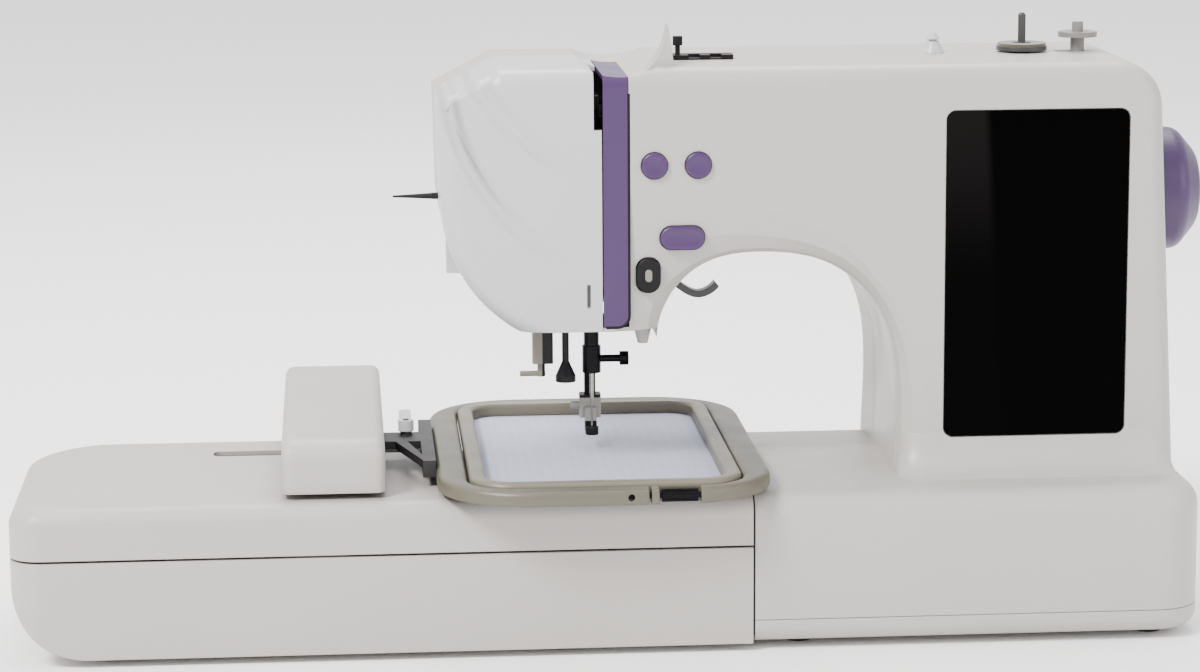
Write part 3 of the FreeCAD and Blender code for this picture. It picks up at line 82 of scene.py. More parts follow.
def start_material(name, **shader_values):
    """A new material, its node tree, its shader and its Object coordinates."""
    made = bpy.data.materials.new(name)
    made.use_nodes = True
    tree = made.node_tree
    shader = tree.nodes["Principled BSDF"]
    for key, value in shader_values.items():
        shader.inputs[key.replace("_", " ")].default_value = value
    place = add(tree, "ShaderNodeTexCoord").outputs["Object"]
    return made, tree, shader, place


def waves_per_metre(size_mm):
    """The scale that makes a noise's features this many millimetres wide."""
    return 1 / (size_mm * MM)


CASING_GREY = "#A29D98"
print("casing grey in linear light:", [round(part, 3) for part in from_hex(CASING_GREY)])

# %% [markdown]
# ## Moulded ABS
# The casings are ABS, injection moulded in a tool whose walls were spark eroded. That leaves a
# fine, even grain with a satin gloss, slightly uneven where the plastic flowed, and edges that
# are never quite sharp. A flat colour looks like paper, so the colour drifts by a few percent
# over a hand's width, the gloss drifts over a fingertip, and a Bevel node softens what light
# does at each edge. The real grain is about 0.15 mm, too fine to show at this distance, so it is
# drawn at 0.6 mm.


# %% ABS for casings, keys and trims
FLOW_MM = 90
POLISH_MM = 18


def moulded_plastic(name, colour, roughness, drift=0.05, grain_mm=0.6, grain_depth=0.02,
                    edge_mm=0.7, **shader_values):
    """Injection-moulded plastic with a spark-eroded grain."""
    made, tree, shader, place = start_material(name, IOR=1.53, **shader_values)
    flow = add(tree, "ShaderNodeTexNoise",
               {"Vector": place, "Scale": waves_per_metre(FLOW_MM), "Detail": 2.0})
    base = from_hex(colour)
    darker = (*[part * (1 - drift) for part in base[:3]], 1.0)
    lighter = (*[min(part * (1 + drift), 1.0) for part in base[:3]], 1.0)
    tint = add(tree, "ShaderNodeMix", {"Factor": flow.outputs["Fac"], 6: darker, 7: lighter},
               data_type="RGBA")
    tree.links.new(tint.outputs[2], shader.inputs["Base Color"])
    polish = add(tree, "ShaderNodeTexNoise",
                 {"Vector": place, "Scale": waves_per_metre(POLISH_MM), "Detail": 3.0})
    gloss = add(tree, "ShaderNodeMapRange",
                {"Value": polish.outputs["Fac"], "From Min": 0.3, "From Max": 0.7,
                 "To Min": roughness - 0.04, "To Max": roughness + 0.05})
    tree.links.new(gloss.outputs["Result"], shader.inputs["Roughness"])
    grain = add(tree, "ShaderNodeTexNoise",
                {"Vector": place, "Scale": waves_per_metre(grain_mm), "Detail": 1.0})
    edge = add(tree, "ShaderNodeBevel", {"Radius": edge_mm * MM}, samples=4)
    bump = add(tree, "ShaderNodeBump",
               {"Height": grain.outputs["Fac"], "Distance": grain_depth * MM,
                "Strength": 0.6, "Normal": edge.outputs["Normal"]})
    tree.links.new(bump.outputs["Normal"], shader.inputs["Normal"])
    return made


CASING = moulded_plastic("moulded_abs_warm_grey", CASING_GREY, 0.42)
COVER = moulded_plastic("moulded_abs_pale_grey", "#ABABAB", 0.34, drift=0.03)
UNIT = moulded_plastic("moulded_abs_stone_grey", "#A09A95", 0.44)
PURPLE = moulded_plastic("moulded_abs_purple", "#2E0A42", 0.40, drift=0.08, edge_mm=0.5)
NYLON = moulded_plastic("moulded_nylon_beige", "#4F4A3C", 0.40, drift=0.07, edge_mm=0.8)
NYLON_PALE = moulded_plastic("moulded_nylon_ivory", "#625C4E", 0.38, drift=0.05, edge_mm=0.6)
BLACK = moulded_plastic("moulded_nylon_black", "#09080A", 0.5, drift=0.15, edge_mm=0.3,
                        Specular_IOR_Level=0.18)
GREY_TRIM = moulded_plastic("moulded_acetal_grey", "#6C6966", 0.40, edge_mm=0.4)
LEVER_GREY = moulded_plastic("moulded_acetal_dark_grey", "#262423", 0.36, edge_mm=0.4)
# The hoop bracket is dark brown nylon, coloured almost black so that it also carries the painted
# shade between the carriage and the hoop.
DARK_BROWN_AND_SHADE = moulded_plastic("moulded_nylon_dark_brown_and_painted_shade", "#0D0809", 0.55, drift=0.15, edge_mm=0.4)
print("plastics:", len(bpy.data.materials))

# %% [markdown]
# ## Two-shot parts and swept creases
# The needle threader and the foot are black mouldings with a pale part added in a second shot
# of plastic. The pale part could be a piece of its own, but a colour that switches between two
# places along one axis leaves the CAD part whole. The head cover has two wide creases that sweep
# down its face. The CAD part has the shallow hollow, and bump along two arcs adds their soft
# edges, which fade towards the thread channel.


# %% Two-shot mouldings and the cover's swept creases
def two_shot(name, dark, pale, axis, low_mm, high_mm):
    """Dark plastic with a pale plastic moulded on, between two places along an axis."""
    made = moulded_plastic(name, dark, 0.45, drift=0.15, edge_mm=0.3,
                           Specular_IOR_Level=0.2)
    tree = made.node_tree
    base = tree.nodes["Principled BSDF"].inputs["Base Color"]
    place = add(tree, "ShaderNodeTexCoord").outputs["Object"]
    parts = add(tree, "ShaderNodeSeparateXYZ", {"Vector": place})
    inside = add(tree, "ShaderNodeMath",
                 {0: parts.outputs[axis], 1: (low_mm + high_mm) / 2 * MM,
                  2: (high_mm - low_mm) / 2 * MM}, operation="COMPARE")
    tint = add(tree, "ShaderNodeMix",
               {"Factor": inside.outputs["Value"], 6: base.links[0].from_socket,
                7: from_hex(pale)}, data_type="RGBA")
    tree.links.new(tint.outputs[2], base)
    return made


THREADER = two_shot("moulded_nylon_black_and_beige", "#141113", "#7B746B", "X",
                    low_mm=-52, high_mm=-35.6)
FOOT = two_shot("moulded_nylon_black_and_ivory", "#09080A", "#8F8C86", "Z",
                low_mm=97, high_mm=108.5)
CREASE_FULL_X = -80 * MM
CREASE_GONE_X = -24 * MM


def press_creases(material, arcs):
    """Raise soft ridges along arcs of the XZ plane: (x, z, radius, width, height) in mm."""
    tree = material.node_tree
    place = add(tree, "ShaderNodeTexCoord").outputs["Object"]
    flat = add(tree, "ShaderNodeVectorMath", {0: place, 1: (1, 0, 1)},
               operation="MULTIPLY").outputs["Vector"]
    along = add(tree, "ShaderNodeSeparateXYZ", {"Vector": flat}).outputs["X"]
    share = add(tree, "ShaderNodeMapRange",
                {"Value": along, "From Min": CREASE_FULL_X, "From Max": CREASE_GONE_X,
                 "To Min": 1.0, "To Max": 0.0})
    under = tree.nodes["Bevel"].outputs["Normal"]
    for x, z, radius, width, height in arcs:
        reach = add(tree, "ShaderNodeVectorMath", {0: flat, 1: (x * MM, 0, z * MM)},
                    operation="DISTANCE")
        off = add(tree, "ShaderNodeMath", {0: reach.outputs["Value"], 1: radius * MM},
                  operation="SUBTRACT")
        side = add(tree, "ShaderNodeMath", {0: off.outputs["Value"]}, operation="ABSOLUTE")
        ridge = add(tree, "ShaderNodeMapRange",
                    {"Value": side.outputs["Value"], "From Max": width / 2 * MM,
                     "To Min": 1.0, "To Max": 0.0}, interpolation_type="SMOOTHSTEP")
        rise = add(tree, "ShaderNodeMath",
                   {0: ridge.outputs["Result"], 1: share.outputs["Result"]},
                   operation="MULTIPLY")
        crease = add(tree, "ShaderNodeBump",
                     {"Height": rise.outputs["Value"], "Distance": height * MM,
                      "Normal": under})
        under = crease.outputs["Normal"]
    tree.links.new(under, tree.nodes["Bump"].inputs["Normal"])


LOWER_CREASE = (27.0, 289.0, 112.0, 12.0, 3.2)
UPPER_CREASE = (19.5, 328.0, 101.0, 15.0, 3.6)
press_creases(COVER, [LOWER_CREASE, UPPER_CREASE])
print("materials with the two-shot parts:", len(bpy.data.materials))

# %% [markdown]
# ## Metals
# Ground steel shows fine lines along the way that the wheel passed, and a blackened part keeps
# the same lines under a thin dark oxide. Cast aluminium has a coarse, matte skin, and sintered
# bronze is full of tiny pores. All of them are full metals, so what differs is the colour, the
# gloss and the size and direction of the marks.


# %% Steel, aluminium and bronze
PATCH_MM = 6
PATCH_SHADE = 0.86


def ground_metal(name, colour, roughness, line_mm=0.25, stretch=(1, 1, 12), depth=0.008):
    """Metal with fine grinding lines, stretched along one axis."""
    made, tree, shader, place = start_material(name, Metallic=1.0)
    turned = add(tree, "ShaderNodeMapping",
                 {"Vector": place, "Scale": [1 / part for part in stretch]})
    lines = add(tree, "ShaderNodeTexNoise",
                {"Vector": turned.outputs["Vector"], "Scale": waves_per_metre(line_mm),
                 "Detail": 2.0})
    patches = add(tree, "ShaderNodeTexNoise",
                  {"Vector": place, "Scale": waves_per_metre(PATCH_MM), "Detail": 2.0})
    base = from_hex(colour)
    darker = (*[part * PATCH_SHADE for part in base[:3]], 1.0)
    tint = add(tree, "ShaderNodeMix", {"Factor": patches.outputs["Fac"], 6: darker, 7: base},
               data_type="RGBA")
    tree.links.new(tint.outputs[2], shader.inputs["Base Color"])
    gloss = add(tree, "ShaderNodeMapRange",
                {"Value": lines.outputs["Fac"], "To Min": roughness - 0.08,
                 "To Max": roughness + 0.1})
    tree.links.new(gloss.outputs["Result"], shader.inputs["Roughness"])
    bump = add(tree, "ShaderNodeBump",
               {"Height": lines.outputs["Fac"], "Distance": depth * MM, "Strength": 0.5})
    tree.links.new(bump.outputs["Normal"], shader.inputs["Normal"])
    return made


STEEL = ground_metal("ground_steel", "#96979A", 0.3)
DARK_STEEL = ground_metal("blackened_steel", "#1E1D1F", 0.4)
NICKEL = ground_metal("nickel_plated_steel", "#A3A19C", 0.2, depth=0.003)
ALUMINIUM = ground_metal("die_cast_aluminium", "#9EA1A4", 0.5, line_mm=0.9,
                         stretch=(1, 1, 1), depth=0.03)
BRONZE = ground_metal("sintered_bronze", "#A87C45", 0.46, line_mm=0.4,
                      stretch=(1, 1, 1), depth=0.02)
print("metals made, materials so far:", len(bpy.data.materials))

# %% [markdown]
# ## Glass, clear cover, rubber and felt
# The screen is a sheet of black-backed glass. Its face is almost a mirror at a low angle and
# deep black straight on. Its upper left is coloured a shade lighter, in a slanting band: a
# painted reflection. The bobbin and its cover are clear polycarbonate. Rubber is black with a
# dull bloom, and felt is a mat of fibres that scatters light at its edge, which sheen gives.

# %% Screen glass and clear plastic
SCREEN, screen_tree, screen_shader, screen_place = start_material(
    "black_backed_glass", Roughness=0.06, IOR=1.5)
screen_shader.inputs["Specular IOR Level"].default_value = 0.012
screen_low, screen_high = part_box("screen_glass")
screen_wide = screen_high.x - screen_low.x
screen_tall = screen_high.z - screen_low.z
# The slanting band is a painted reflection: a lighter colour on the glass's upper left.
REFLECTION_LEAN = 0.05
REFLECTION_EDGE = (0.24, 0.30)
REFLECTION_FOOT = 0.45
across = add(screen_tree, "ShaderNodeSeparateXYZ", {"Vector": screen_place})
rise = add(screen_tree, "ShaderNodeMapRange",
           {"Value": across.outputs["Z"], "From Min": screen_low.z, "From Max": screen_high.z,
            "To Min": -screen_wide * REFLECTION_LEAN, "To Max": screen_wide * REFLECTION_LEAN})
leaning = add(screen_tree, "ShaderNodeMath",
              {0: across.outputs["X"], 1: rise.outputs["Result"]})
band = add(screen_tree, "ShaderNodeMapRange",
           {"Value": leaning.outputs["Value"],
            "From Min": screen_low.x + screen_wide * REFLECTION_EDGE[0],
            "From Max": screen_low.x + screen_wide * REFLECTION_EDGE[1],
            "To Min": 1.0, "To Max": 0.0}, interpolation_type="SMOOTHSTEP")
height = add(screen_tree, "ShaderNodeMapRange",
             {"Value": across.outputs["Z"],
              "From Min": screen_low.z + screen_tall * REFLECTION_FOOT, "From Max": screen_high.z,
              "To Min": 0.05, "To Max": 1.0}, interpolation_type="SMOOTHSTEP")
painted_reflection = add(screen_tree, "ShaderNodeMath",
           {0: band.outputs["Result"], 1: height.outputs["Result"]}, operation="MULTIPLY")
screen_black_and_painted_reflection = add(screen_tree, "ShaderNodeMix",
                  {"Factor": painted_reflection.outputs["Value"], 6: from_hex("#010101"),
                   7: from_hex("#100E0E")}, data_type="RGBA")
screen_tree.links.new(screen_black_and_painted_reflection.outputs[2], screen_shader.inputs["Base Color"])
smears = add(screen_tree, "ShaderNodeTexNoise",
             {"Vector": screen_place, "Scale": waves_per_metre(25)})
smear_gloss = add(screen_tree, "ShaderNodeMapRange",
                  {"Value": smears.outputs["Fac"], "To Min": 0.03, "To Max": 0.1})
screen_tree.links.new(smear_gloss.outputs["Result"], screen_shader.inputs["Roughness"])

CLEAR, clear_tree, clear_shader, clear_place = start_material(
    "moulded_polycarbonate_clear", Base_Color=from_hex("#EEF2F4"), IOR=1.58,
    Transmission_Weight=0.85)
scuffs = add(clear_tree, "ShaderNodeTexNoise",
             {"Vector": clear_place, "Scale": waves_per_metre(2.5), "Detail": 4.0})
scuff_gloss = add(clear_tree, "ShaderNodeMapRange",
                  {"Value": scuffs.outputs["Fac"], "To Min": 0.05, "To Max": 0.25})
clear_tree.links.new(scuff_gloss.outputs["Result"], clear_shader.inputs["Roughness"])
print("screen", round(screen_wide, 3), "by", round(screen_tall, 3), "m")


# %% Rubber, felt and circuit board
def matte(name, colour, other, patch_mm, depth, roughness, **shader_values):
    """A dull material whose colour varies in small patches that also stand a little proud."""
    made, tree, shader, place = start_material(name, Roughness=roughness, **shader_values)
    patches = add(tree, "ShaderNodeTexNoise",
                  {"Vector": place, "Scale": waves_per_metre(patch_mm), "Detail": 4.0})
    tint = add(tree, "ShaderNodeMix",
               {"Factor": patches.outputs["Fac"], 6: from_hex(colour), 7: from_hex(other)},
               data_type="RGBA")
    tree.links.new(tint.outputs[2], shader.inputs["Base Color"])
    bump = add(tree, "ShaderNodeBump",
               {"Height": patches.outputs["Fac"], "Distance": depth * MM})
    tree.links.new(bump.outputs["Normal"], shader.inputs["Normal"])
    return made


RUBBER = matte("moulded_rubber_black", "#141414", "#26262A", 3, 0.05, 0.75)
FELT = matte("pressed_wool_felt_dark", "#3C392F", "#524B39", 0.8, 0.2, 0.95,
             Sheen_Weight=0.4)
BOARD = matte("solder_masked_board", "#0E3B22", "#15502F", 1.5, 0.02, 0.4)
print("materials so far:", len(bpy.data.materials))

# %% [markdown]
# ## Woven cloth
# The cloth in the hoop is a plain-weave cotton, pulled flat. A plain weave is two sets of
# threads that take turns on top, so two sets of waves at right angles are multiplied into a
# height. Real threads here are 0.35 mm apart, too fine to show at this distance, so they are
# drawn as bundles 5.7 mm apart, and their shading is kept slight. A wave texture turns through
# 20 radians in each unit of length, so its scale is worked out from the length of one radian.
# Cotton fibres stand off the threads, which gives the pale sheen at a low angle.

# %% Cotton for the hoop
RADIAN_MM = 0.9
WAVE_RADIANS = 20
BUNDLE_MM = 2 * math.pi * RADIAN_MM
CLOTH, cloth_tree, cloth_shader, cloth_place = start_material(
    "woven_cotton_lavender_white", Roughness=0.9, Sheen_Weight=0.25, IOR=1.46)
threads = [add(cloth_tree, "ShaderNodeTexWave",
               {"Vector": cloth_place, "Scale": waves_per_metre(RADIAN_MM) / WAVE_RADIANS,
                "Distortion": 0.6, "Detail": 1.0, "Detail Scale": 2.0},
               bands_direction=way) for way in ("X", "Y")]
crossing = add(cloth_tree, "ShaderNodeMath",
               {0: threads[0].outputs["Fac"], 1: threads[1].outputs["Fac"]},
               operation="MULTIPLY")
slubs = add(cloth_tree, "ShaderNodeTexNoise",
            {"Vector": cloth_place, "Scale": waves_per_metre(14), "Detail": 3.0})
shade = add(cloth_tree, "ShaderNodeMath",
            {0: crossing.outputs["Value"], 1: slubs.outputs["Fac"]}, operation="MULTIPLY")
cloth_tint = add(cloth_tree, "ShaderNodeMix",
                 {"Factor": shade.outputs["Value"], 6: from_hex("#9598AA"),
                  7: from_hex("#A6A9B9")}, data_type="RGBA")
cloth_tree.links.new(cloth_tint.outputs[2], cloth_shader.inputs["Base Color"])
cloth_bump = add(cloth_tree, "ShaderNodeBump",
                 {"Height": crossing.outputs["Value"], "Distance": 0.06 * MM, "Strength": 0.7})
cloth_tree.links.new(cloth_bump.outputs["Normal"], cloth_shader.inputs["Normal"])
print("thread bundles drawn:", round(BUNDLE_MM, 1), "mm apart")

# %% [markdown]
# ## Finishes for the CAD parts
# Each CAD part keeps its shape and gets one of the materials above. One dictionary says which,
# so it can be read at a glance, and any part that it forgets stops the script.

# %% Give every CAD part its material
FINISHES = {
    CASING: ["front_casing", "rear_casing", "base_tray", "work_light"],
    UNIT: ["unit_upper_case", "unit_lower_case", "carriage_cover", "free_arm"],
    COVER: ["head_cover", "thread_cutter", "thread_post", "hoop_lever"],
    PURPLE: ["thread_channel", "hand_wheel", "left_button", "right_button", "wide_button"],
    NYLON: ["outer_hoop"],
    NYLON_PALE: ["inner_hoop"],
    BLACK: ["start_button", "power_inlet", "power_switch", "top_thread_guide", "bobbin_case",
            "rotary_hook", "take_up_lever"],
    DARK_BROWN_AND_SHADE: ["hoop_bracket"],
    THREADER: ["needle_threader"],
    FOOT: ["embroidery_foot"],
    GREY_TRIM: ["winder_arm", "winder_spindle"],
    LEVER_GREY: ["presser_lever", "spool_pin"],
    STEEL: ["casing_screws", "needle_plate", "main_shaft", "lower_shaft", "unit_rails",
            "feed_dog", "carriage_base"],
    DARK_STEEL: ["needle_bar", "needle_clamp", "clamp_screw", "presser_bar", "main_motor",
                 "unit_motor", "motor_pulley"],
    NICKEL: ["needle", "hoop_screw"],
    ALUMINIUM: ["cast_frame"],
    BRONZE: ["shaft_bushes"],
    RUBBER: ["rubber_feet", "motor_belt", "timing_belt"],
    FELT: ["spool_felt"],
    BOARD: ["control_board"],
    SCREEN: ["screen_glass"],
    CLEAR: ["bobbin_cover", "bobbin"],
    CLOTH: ["hoop_fabric"],
}
for finish, names in FINISHES.items():
    for name in names:
        NODES[name].data.materials.clear()
        NODES[name].data.materials.append(finish)
finished = [name for names in FINISHES.values() for name in names]
assert sorted(finished) == sorted(NODES), set(NODES) ^ set(finished)
print("finished parts:", len(finished))

# %% [markdown]
# ## Small tools for modelling
# Every new piece starts as a bmesh: a small shape that operators extrude, bevel and bridge. The
# finished mesh keeps its place in its own points, and its object stays at the origin, as the
# CAD parts do. Most pieces here are soft-edged plates, so one tool makes a flat outline with
# round corners, by bevelling the corner points of a square.


# %% Bmesh helpers
SAME_PLACE = 0.001 * MM
SAME_HEIGHT = 0.01 * MM
CORNER_ANGLE = math.radians(50)


def rounded_outline(bm, centre, half_x, half_y, corner, steps=12):
    """A flat face with four round corners, and its edges."""
    face = bmesh.ops.create_grid(bm, x_segments=1, y_segments=1, size=1.0)["verts"]
    bmesh.ops.scale(bm, vec=(half_x, half_y, 1), verts=face)
    bmesh.ops.translate(bm, vec=centre, verts=face)
    made = bmesh.ops.bevel(bm, geom=face, offset=corner, offset_type="OFFSET", segments=steps,
                           profile=0.5, affect="VERTICES", material=-1, clamp_overlap=True)
    corners = set(made["verts"]) | {vert for vert in face if vert.is_valid}
    plate = [item for item in bm.faces if all(vert in corners for vert in item.verts)]
    return plate[-1], list(plate[-1].edges)


def raise_face(bm, faces, distance):
    """Extrude flat faces upwards and return the new top faces."""
    made = bmesh.ops.extrude_face_region(bm, geom=faces)["geom"]
    top_verts = [item for item in made if isinstance(item, bmesh.types.BMVert)]
    bmesh.ops.translate(bm, vec=(0, 0, distance), verts=top_verts)
    return [item for item in made if isinstance(item, bmesh.types.BMFace)]


def round_rims(bm, edges, radius, segments=4):
    """Round edges off with an even radius."""
    bmesh.ops.bevel(bm, geom=edges, offset=radius, offset_type="OFFSET", segments=segments,
                    profile=0.5, affect="EDGES", material=-1, clamp_overlap=True)


def rims(bm, height):
    """The edges that lie flat at one height and have a corner across them."""
    return [edge for edge in bm.edges
            if all(abs(vert.co.z - height) < SAME_HEIGHT for vert in edge.verts)
            and len(edge.link_faces) == 2 and edge.calc_face_angle() > CORNER_ANGLE]


def new_piece(name, bm, material, body, stands_for=(), sharp_degrees=40):
    """Turn a bmesh into a piece that rides on a body and may stand for CAD parts."""
    bmesh.ops.remove_doubles(bm, verts=bm.verts, dist=SAME_PLACE)
    bmesh.ops.recalc_face_normals(bm, faces=bm.faces)
    mesh = bpy.data.meshes.new(name)
    bm.to_mesh(mesh)
    bm.free()
    mesh.materials.append(material)
    mesh.shade_smooth()
    mesh.set_sharp_from_angle(angle=math.radians(sharp_degrees))
    piece = bpy.data.objects.new(name, mesh)
    bpy.context.scene.collection.objects.link(piece)
    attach(piece, body)
    if stands_for:
        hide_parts(*stands_for)
    return piece


print("modelling tools ready")

# %% [markdown]
# ## The hoop's rails
# The hoop is two moulded rings, one inside the other, that grip the cloth between them. Their
# rails look heavy because the upper edges are rounded over most of their width. Each ring is
# two round-cornered outlines, bridged into a flat band, raised, and rounded. The outer one then
# gets its split, the pocket for its screw and a small sighting hole, each carved out with a
# Boolean, which keeps the rounding clean on both sides of a cut.


# %% A ring between two outlines
def ring(outer, inner, low, high, radius, foot_radius):
    """A bmesh ring. outer and inner are (half_x, half_y, corner) about the hoop's middle."""
    bm = bmesh.new()
    loops = []
    for half_x, half_y, corner in (outer, inner):
        face, edges = rounded_outline(bm, (*HOOP_MIDDLE, low), half_x, half_y, corner)
        loops += edges
        bmesh.ops.delete(bm, geom=[face], context="FACES_ONLY")
    band = bmesh.ops.bridge_loops(bm, edges=loops)["faces"]
    raise_face(bm, band, high - low)
    round_rims(bm, rims(bm, high), radius, segments=6)
    round_rims(bm, rims(bm, low), foot_radius, segments=2)
    return bm


outer_low, outer_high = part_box("outer_hoop")
inner_low, inner_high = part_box("inner_hoop")
HOOP_MIDDLE = ((outer_low.x + outer_high.x) / 2, (outer_low.y + outer_high.y) / 2)
OUTER_HALF = ((outer_high.x - outer_low.x) / 2, (outer_high.y - outer_low.y) / 2)
INNER_HALF = ((inner_high.x - inner_low.x) / 2, (inner_high.y - inner_low.y) / 2)
GAP = 0.6 * MM
RAIL_WIDE = 8 * MM
OUTER_CORNER = 46 * MM
INNER_CORNER = 22 * MM
outer_bm = ring((*OUTER_HALF, OUTER_CORNER),
                (INNER_HALF[0] + GAP, INNER_HALF[1] + GAP, INNER_CORNER + GAP),
                outer_low.z, outer_high.z, radius=3.2 * MM, foot_radius=0.8 * MM)
inner_bm = ring((*INNER_HALF, INNER_CORNER),
                (INNER_HALF[0] - RAIL_WIDE, INNER_HALF[1] - RAIL_WIDE, INNER_CORNER - RAIL_WIDE),
                inner_low.z, inner_high.z, radius=2.4 * MM, foot_radius=0.5 * MM)
outer_rail = new_piece("outer_hoop_rail", outer_bm, NYLON, "hoop",
                       ["outer_hoop"])
inner_rail = new_piece("inner_hoop_rail", inner_bm, NYLON_PALE, "hoop",
                       ["inner_hoop"])
print("hoop rails:", len(outer_rail.data.polygons), "and", len(inner_rail.data.polygons),
      "faces")


# %% Carve the outer rail's split, screw pocket and sighting hole
def carve(piece, cutter_bms):
    """Take cutters out of a piece and keep the result as its mesh."""
    cutters = []
    for cutter_bm in cutter_bms:
        bmesh.ops.recalc_face_normals(cutter_bm, faces=cutter_bm.faces)
        mesh = bpy.data.meshes.new("cutter")
        cutter_bm.to_mesh(mesh)
        cutter_bm.free()
        cutter = bpy.data.objects.new("cutter", mesh)
        bpy.context.scene.collection.objects.link(cutter)
        cutters.append(cutter)
        taking = piece.modifiers.new("take_out", "BOOLEAN")
        taking.operation = "DIFFERENCE"
        taking.solver = "EXACT"
        taking.object = cutter
    seen = piece.evaluated_get(bpy.context.evaluated_depsgraph_get())
    carved = bpy.data.meshes.new_from_object(seen)
    carved.set_sharp_from_angle(angle=math.radians(40))
    piece.modifiers.clear()
    piece.data = carved
    for cutter in cutters:
        bpy.data.objects.remove(cutter)


def box_cutter(low, high):
    """A box between two corners."""
    bm = bmesh.new()
    bmesh.ops.create_cube(bm, size=1.0)
    low, high = Vector(low), Vector(high)
    bmesh.ops.scale(bm, vec=high - low, verts=bm.verts)
    bmesh.ops.translate(bm, vec=(low + high) / 2, verts=bm.verts)
    return bm


hoop_front = outer_low.y
CUT_LOW = 80 * MM
CUT_HIGH = 96 * MM
SPLIT_LEFT = 8.5 * MM
SPLIT_RIGHT = 9.9 * MM
SPLIT_DEEP = 20 * MM
KNOB_LEFT = 13.5 * MM
KNOB_RIGHT = 34 * MM
KNOB_DEEP = 8 * MM
SIGHT_RADIUS = 1.7 * MM
SIGHT_DEEP = 6 * MM
split_cutter = box_cutter((SPLIT_LEFT, hoop_front - MM, CUT_LOW),
                          (SPLIT_RIGHT, hoop_front + SPLIT_DEEP, CUT_HIGH))
pocket_cutter = box_cutter((KNOB_LEFT, hoop_front - MM, CUT_LOW),
                           (KNOB_RIGHT, hoop_front + KNOB_DEEP, CUT_HIGH))
sight_cutter = bmesh.new()
bmesh.ops.create_cone(sight_cutter, cap_ends=True, segments=24, radius1=SIGHT_RADIUS,
                      radius2=SIGHT_RADIUS, depth=SIGHT_DEEP)
bmesh.ops.rotate(sight_cutter, matrix=Matrix.Rotation(math.radians(90), 3, "X"),
                 verts=sight_cutter.verts)
bmesh.ops.translate(sight_cutter, vec=(0, hoop_front, (outer_low.z + outer_high.z) / 2),
                    verts=sight_cutter.verts)
carve(outer_rail, [split_cutter, pocket_cutter, sight_cutter])
print("carved rail:", len(outer_rail.data.polygons), "faces")

# %% [markdown]
# ## The cloth
# The cloth is one flat cut piece, gripped between the rings and pulled tight over the field. It
# is a fine grid, trimmed to a round-cornered outline and given its thickness. Even tight cloth
# isn't perfectly flat: it dips a little towards the middle and is drawn in small waves where
# the ring grips it, so its points are moved by a fraction of a millimetre.

# %% Cloth stretched in the hoop
CLOTH_THICK = 0.5 * MM
DIP = 0.35 * MM
RIPPLE = 0.25
RIPPLE_TURN = (19, 3)
fabric_low, fabric_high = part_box("hoop_fabric")
fabric_half = ((fabric_high.x - fabric_low.x) / 2, (fabric_high.y - fabric_low.y) / 2)
cloth_bm = bmesh.new()
rounded_outline(cloth_bm, (*HOOP_MIDDLE, fabric_high.z - 0.05 * MM), *fabric_half,
                INNER_CORNER)
CLOTH_STEP = 4 * MM
for axis, half in enumerate(fabric_half):
    normal = Vector((1, 0, 0)) if axis == 0 else Vector((0, 1, 0))
    for count in range(int(2 * half / CLOTH_STEP)):
        point = Vector((*HOOP_MIDDLE, 0))
        point[axis] += (count + 0.5) * CLOTH_STEP - half
        bmesh.ops.bisect_plane(cloth_bm,
                               geom=cloth_bm.verts[:] + cloth_bm.edges[:] + cloth_bm.faces[:],
                               plane_co=point, plane_no=normal, dist=SAME_PLACE)
for vert in cloth_bm.verts:
    across_x = (vert.co.x - HOOP_MIDDLE[0]) / fabric_half[0]
    across_y = (vert.co.y - HOOP_MIDDLE[1]) / fabric_half[1]
    free = max(0.0, 1 - max(abs(across_x), abs(across_y)) ** 6)
    wave = math.sin(across_x * RIPPLE_TURN[0] + across_y * RIPPLE_TURN[1])
    ripple = RIPPLE * wave * abs(across_y) ** 3
    vert.co.z -= DIP * free * (1 - 0.5 * (across_x ** 2 + across_y ** 2) + ripple)
cloth = new_piece("hooped_cotton", cloth_bm, CLOTH, "hoop", ["hoop_fabric"],
                  sharp_degrees=80)
thicken = cloth.modifiers.new("thickness", "SOLIDIFY")
thicken.thickness = CLOTH_THICK
thicken.offset = -1

# %% [markdown]
# ## Key caps
# The keys are small purple caps that stand a little out of the casing. Fingers wear them round
# and rest in a shallow hollow, so each is an outline raised into a plate, rounded at the rim,
# with its top inset and sunk by a fraction of a millimetre. They are modelled lying flat and
# then turned to face the person sewing.

# %% Purple keys
FACE_FORWARD = Matrix.Rotation(math.radians(90), 3, "X")
FULL_ROUND = 0.985
KEY_RIM = 1.1 * MM
HOLLOW_STEPS_MM = ((0.9, 0), (1.0, -0.16), (1.2, -0.12))


def key_cap(name, node, thick, material, body):
    """A soft-edged cap with a finger hollow, facing -Y, in the place of a CAD key."""
    low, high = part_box(node)
    half_x = (high.x - low.x) / 2
    half_z = (high.z - low.z) / 2
    bm = bmesh.new()
    face, _ = rounded_outline(bm, (0, 0, 0), half_x, half_z, min(half_x, half_z) * FULL_ROUND,
                              steps=16)
    raise_face(bm, [face], thick)
    round_rims(bm, rims(bm, thick), KEY_RIM, segments=5)
    top = max(bm.faces,
              key=lambda item: (round(item.calc_center_median().z, 6), item.calc_area()))
    for inset, sink in HOLLOW_STEPS_MM:
        bmesh.ops.inset_region(bm, faces=[top], thickness=inset * MM, depth=sink * MM,
                               use_even_offset=True)
    bmesh.ops.rotate(bm, matrix=FACE_FORWARD, verts=bm.verts)
    bmesh.ops.translate(bm, vec=(low.x + half_x, low.y + thick, low.z + half_z), verts=bm.verts)
    return new_piece(name, bm, material, body, [node], sharp_degrees=50)


KEY_THICK = 9 * MM
for side in ("left", "right", "wide"):
    key_cap(f"{side}_key_cap", f"{side}_button", KEY_THICK, PURPLE, f"{side}_key")

# %% [markdown]
# ## The start key
# The start key is an upright oval: a black surround and a grey middle. Both are one moulding on
# the real machine, in two colours, so they ride together. The grey middle is a second outline
# with a rounded rim, set into the black one's finger hollow.

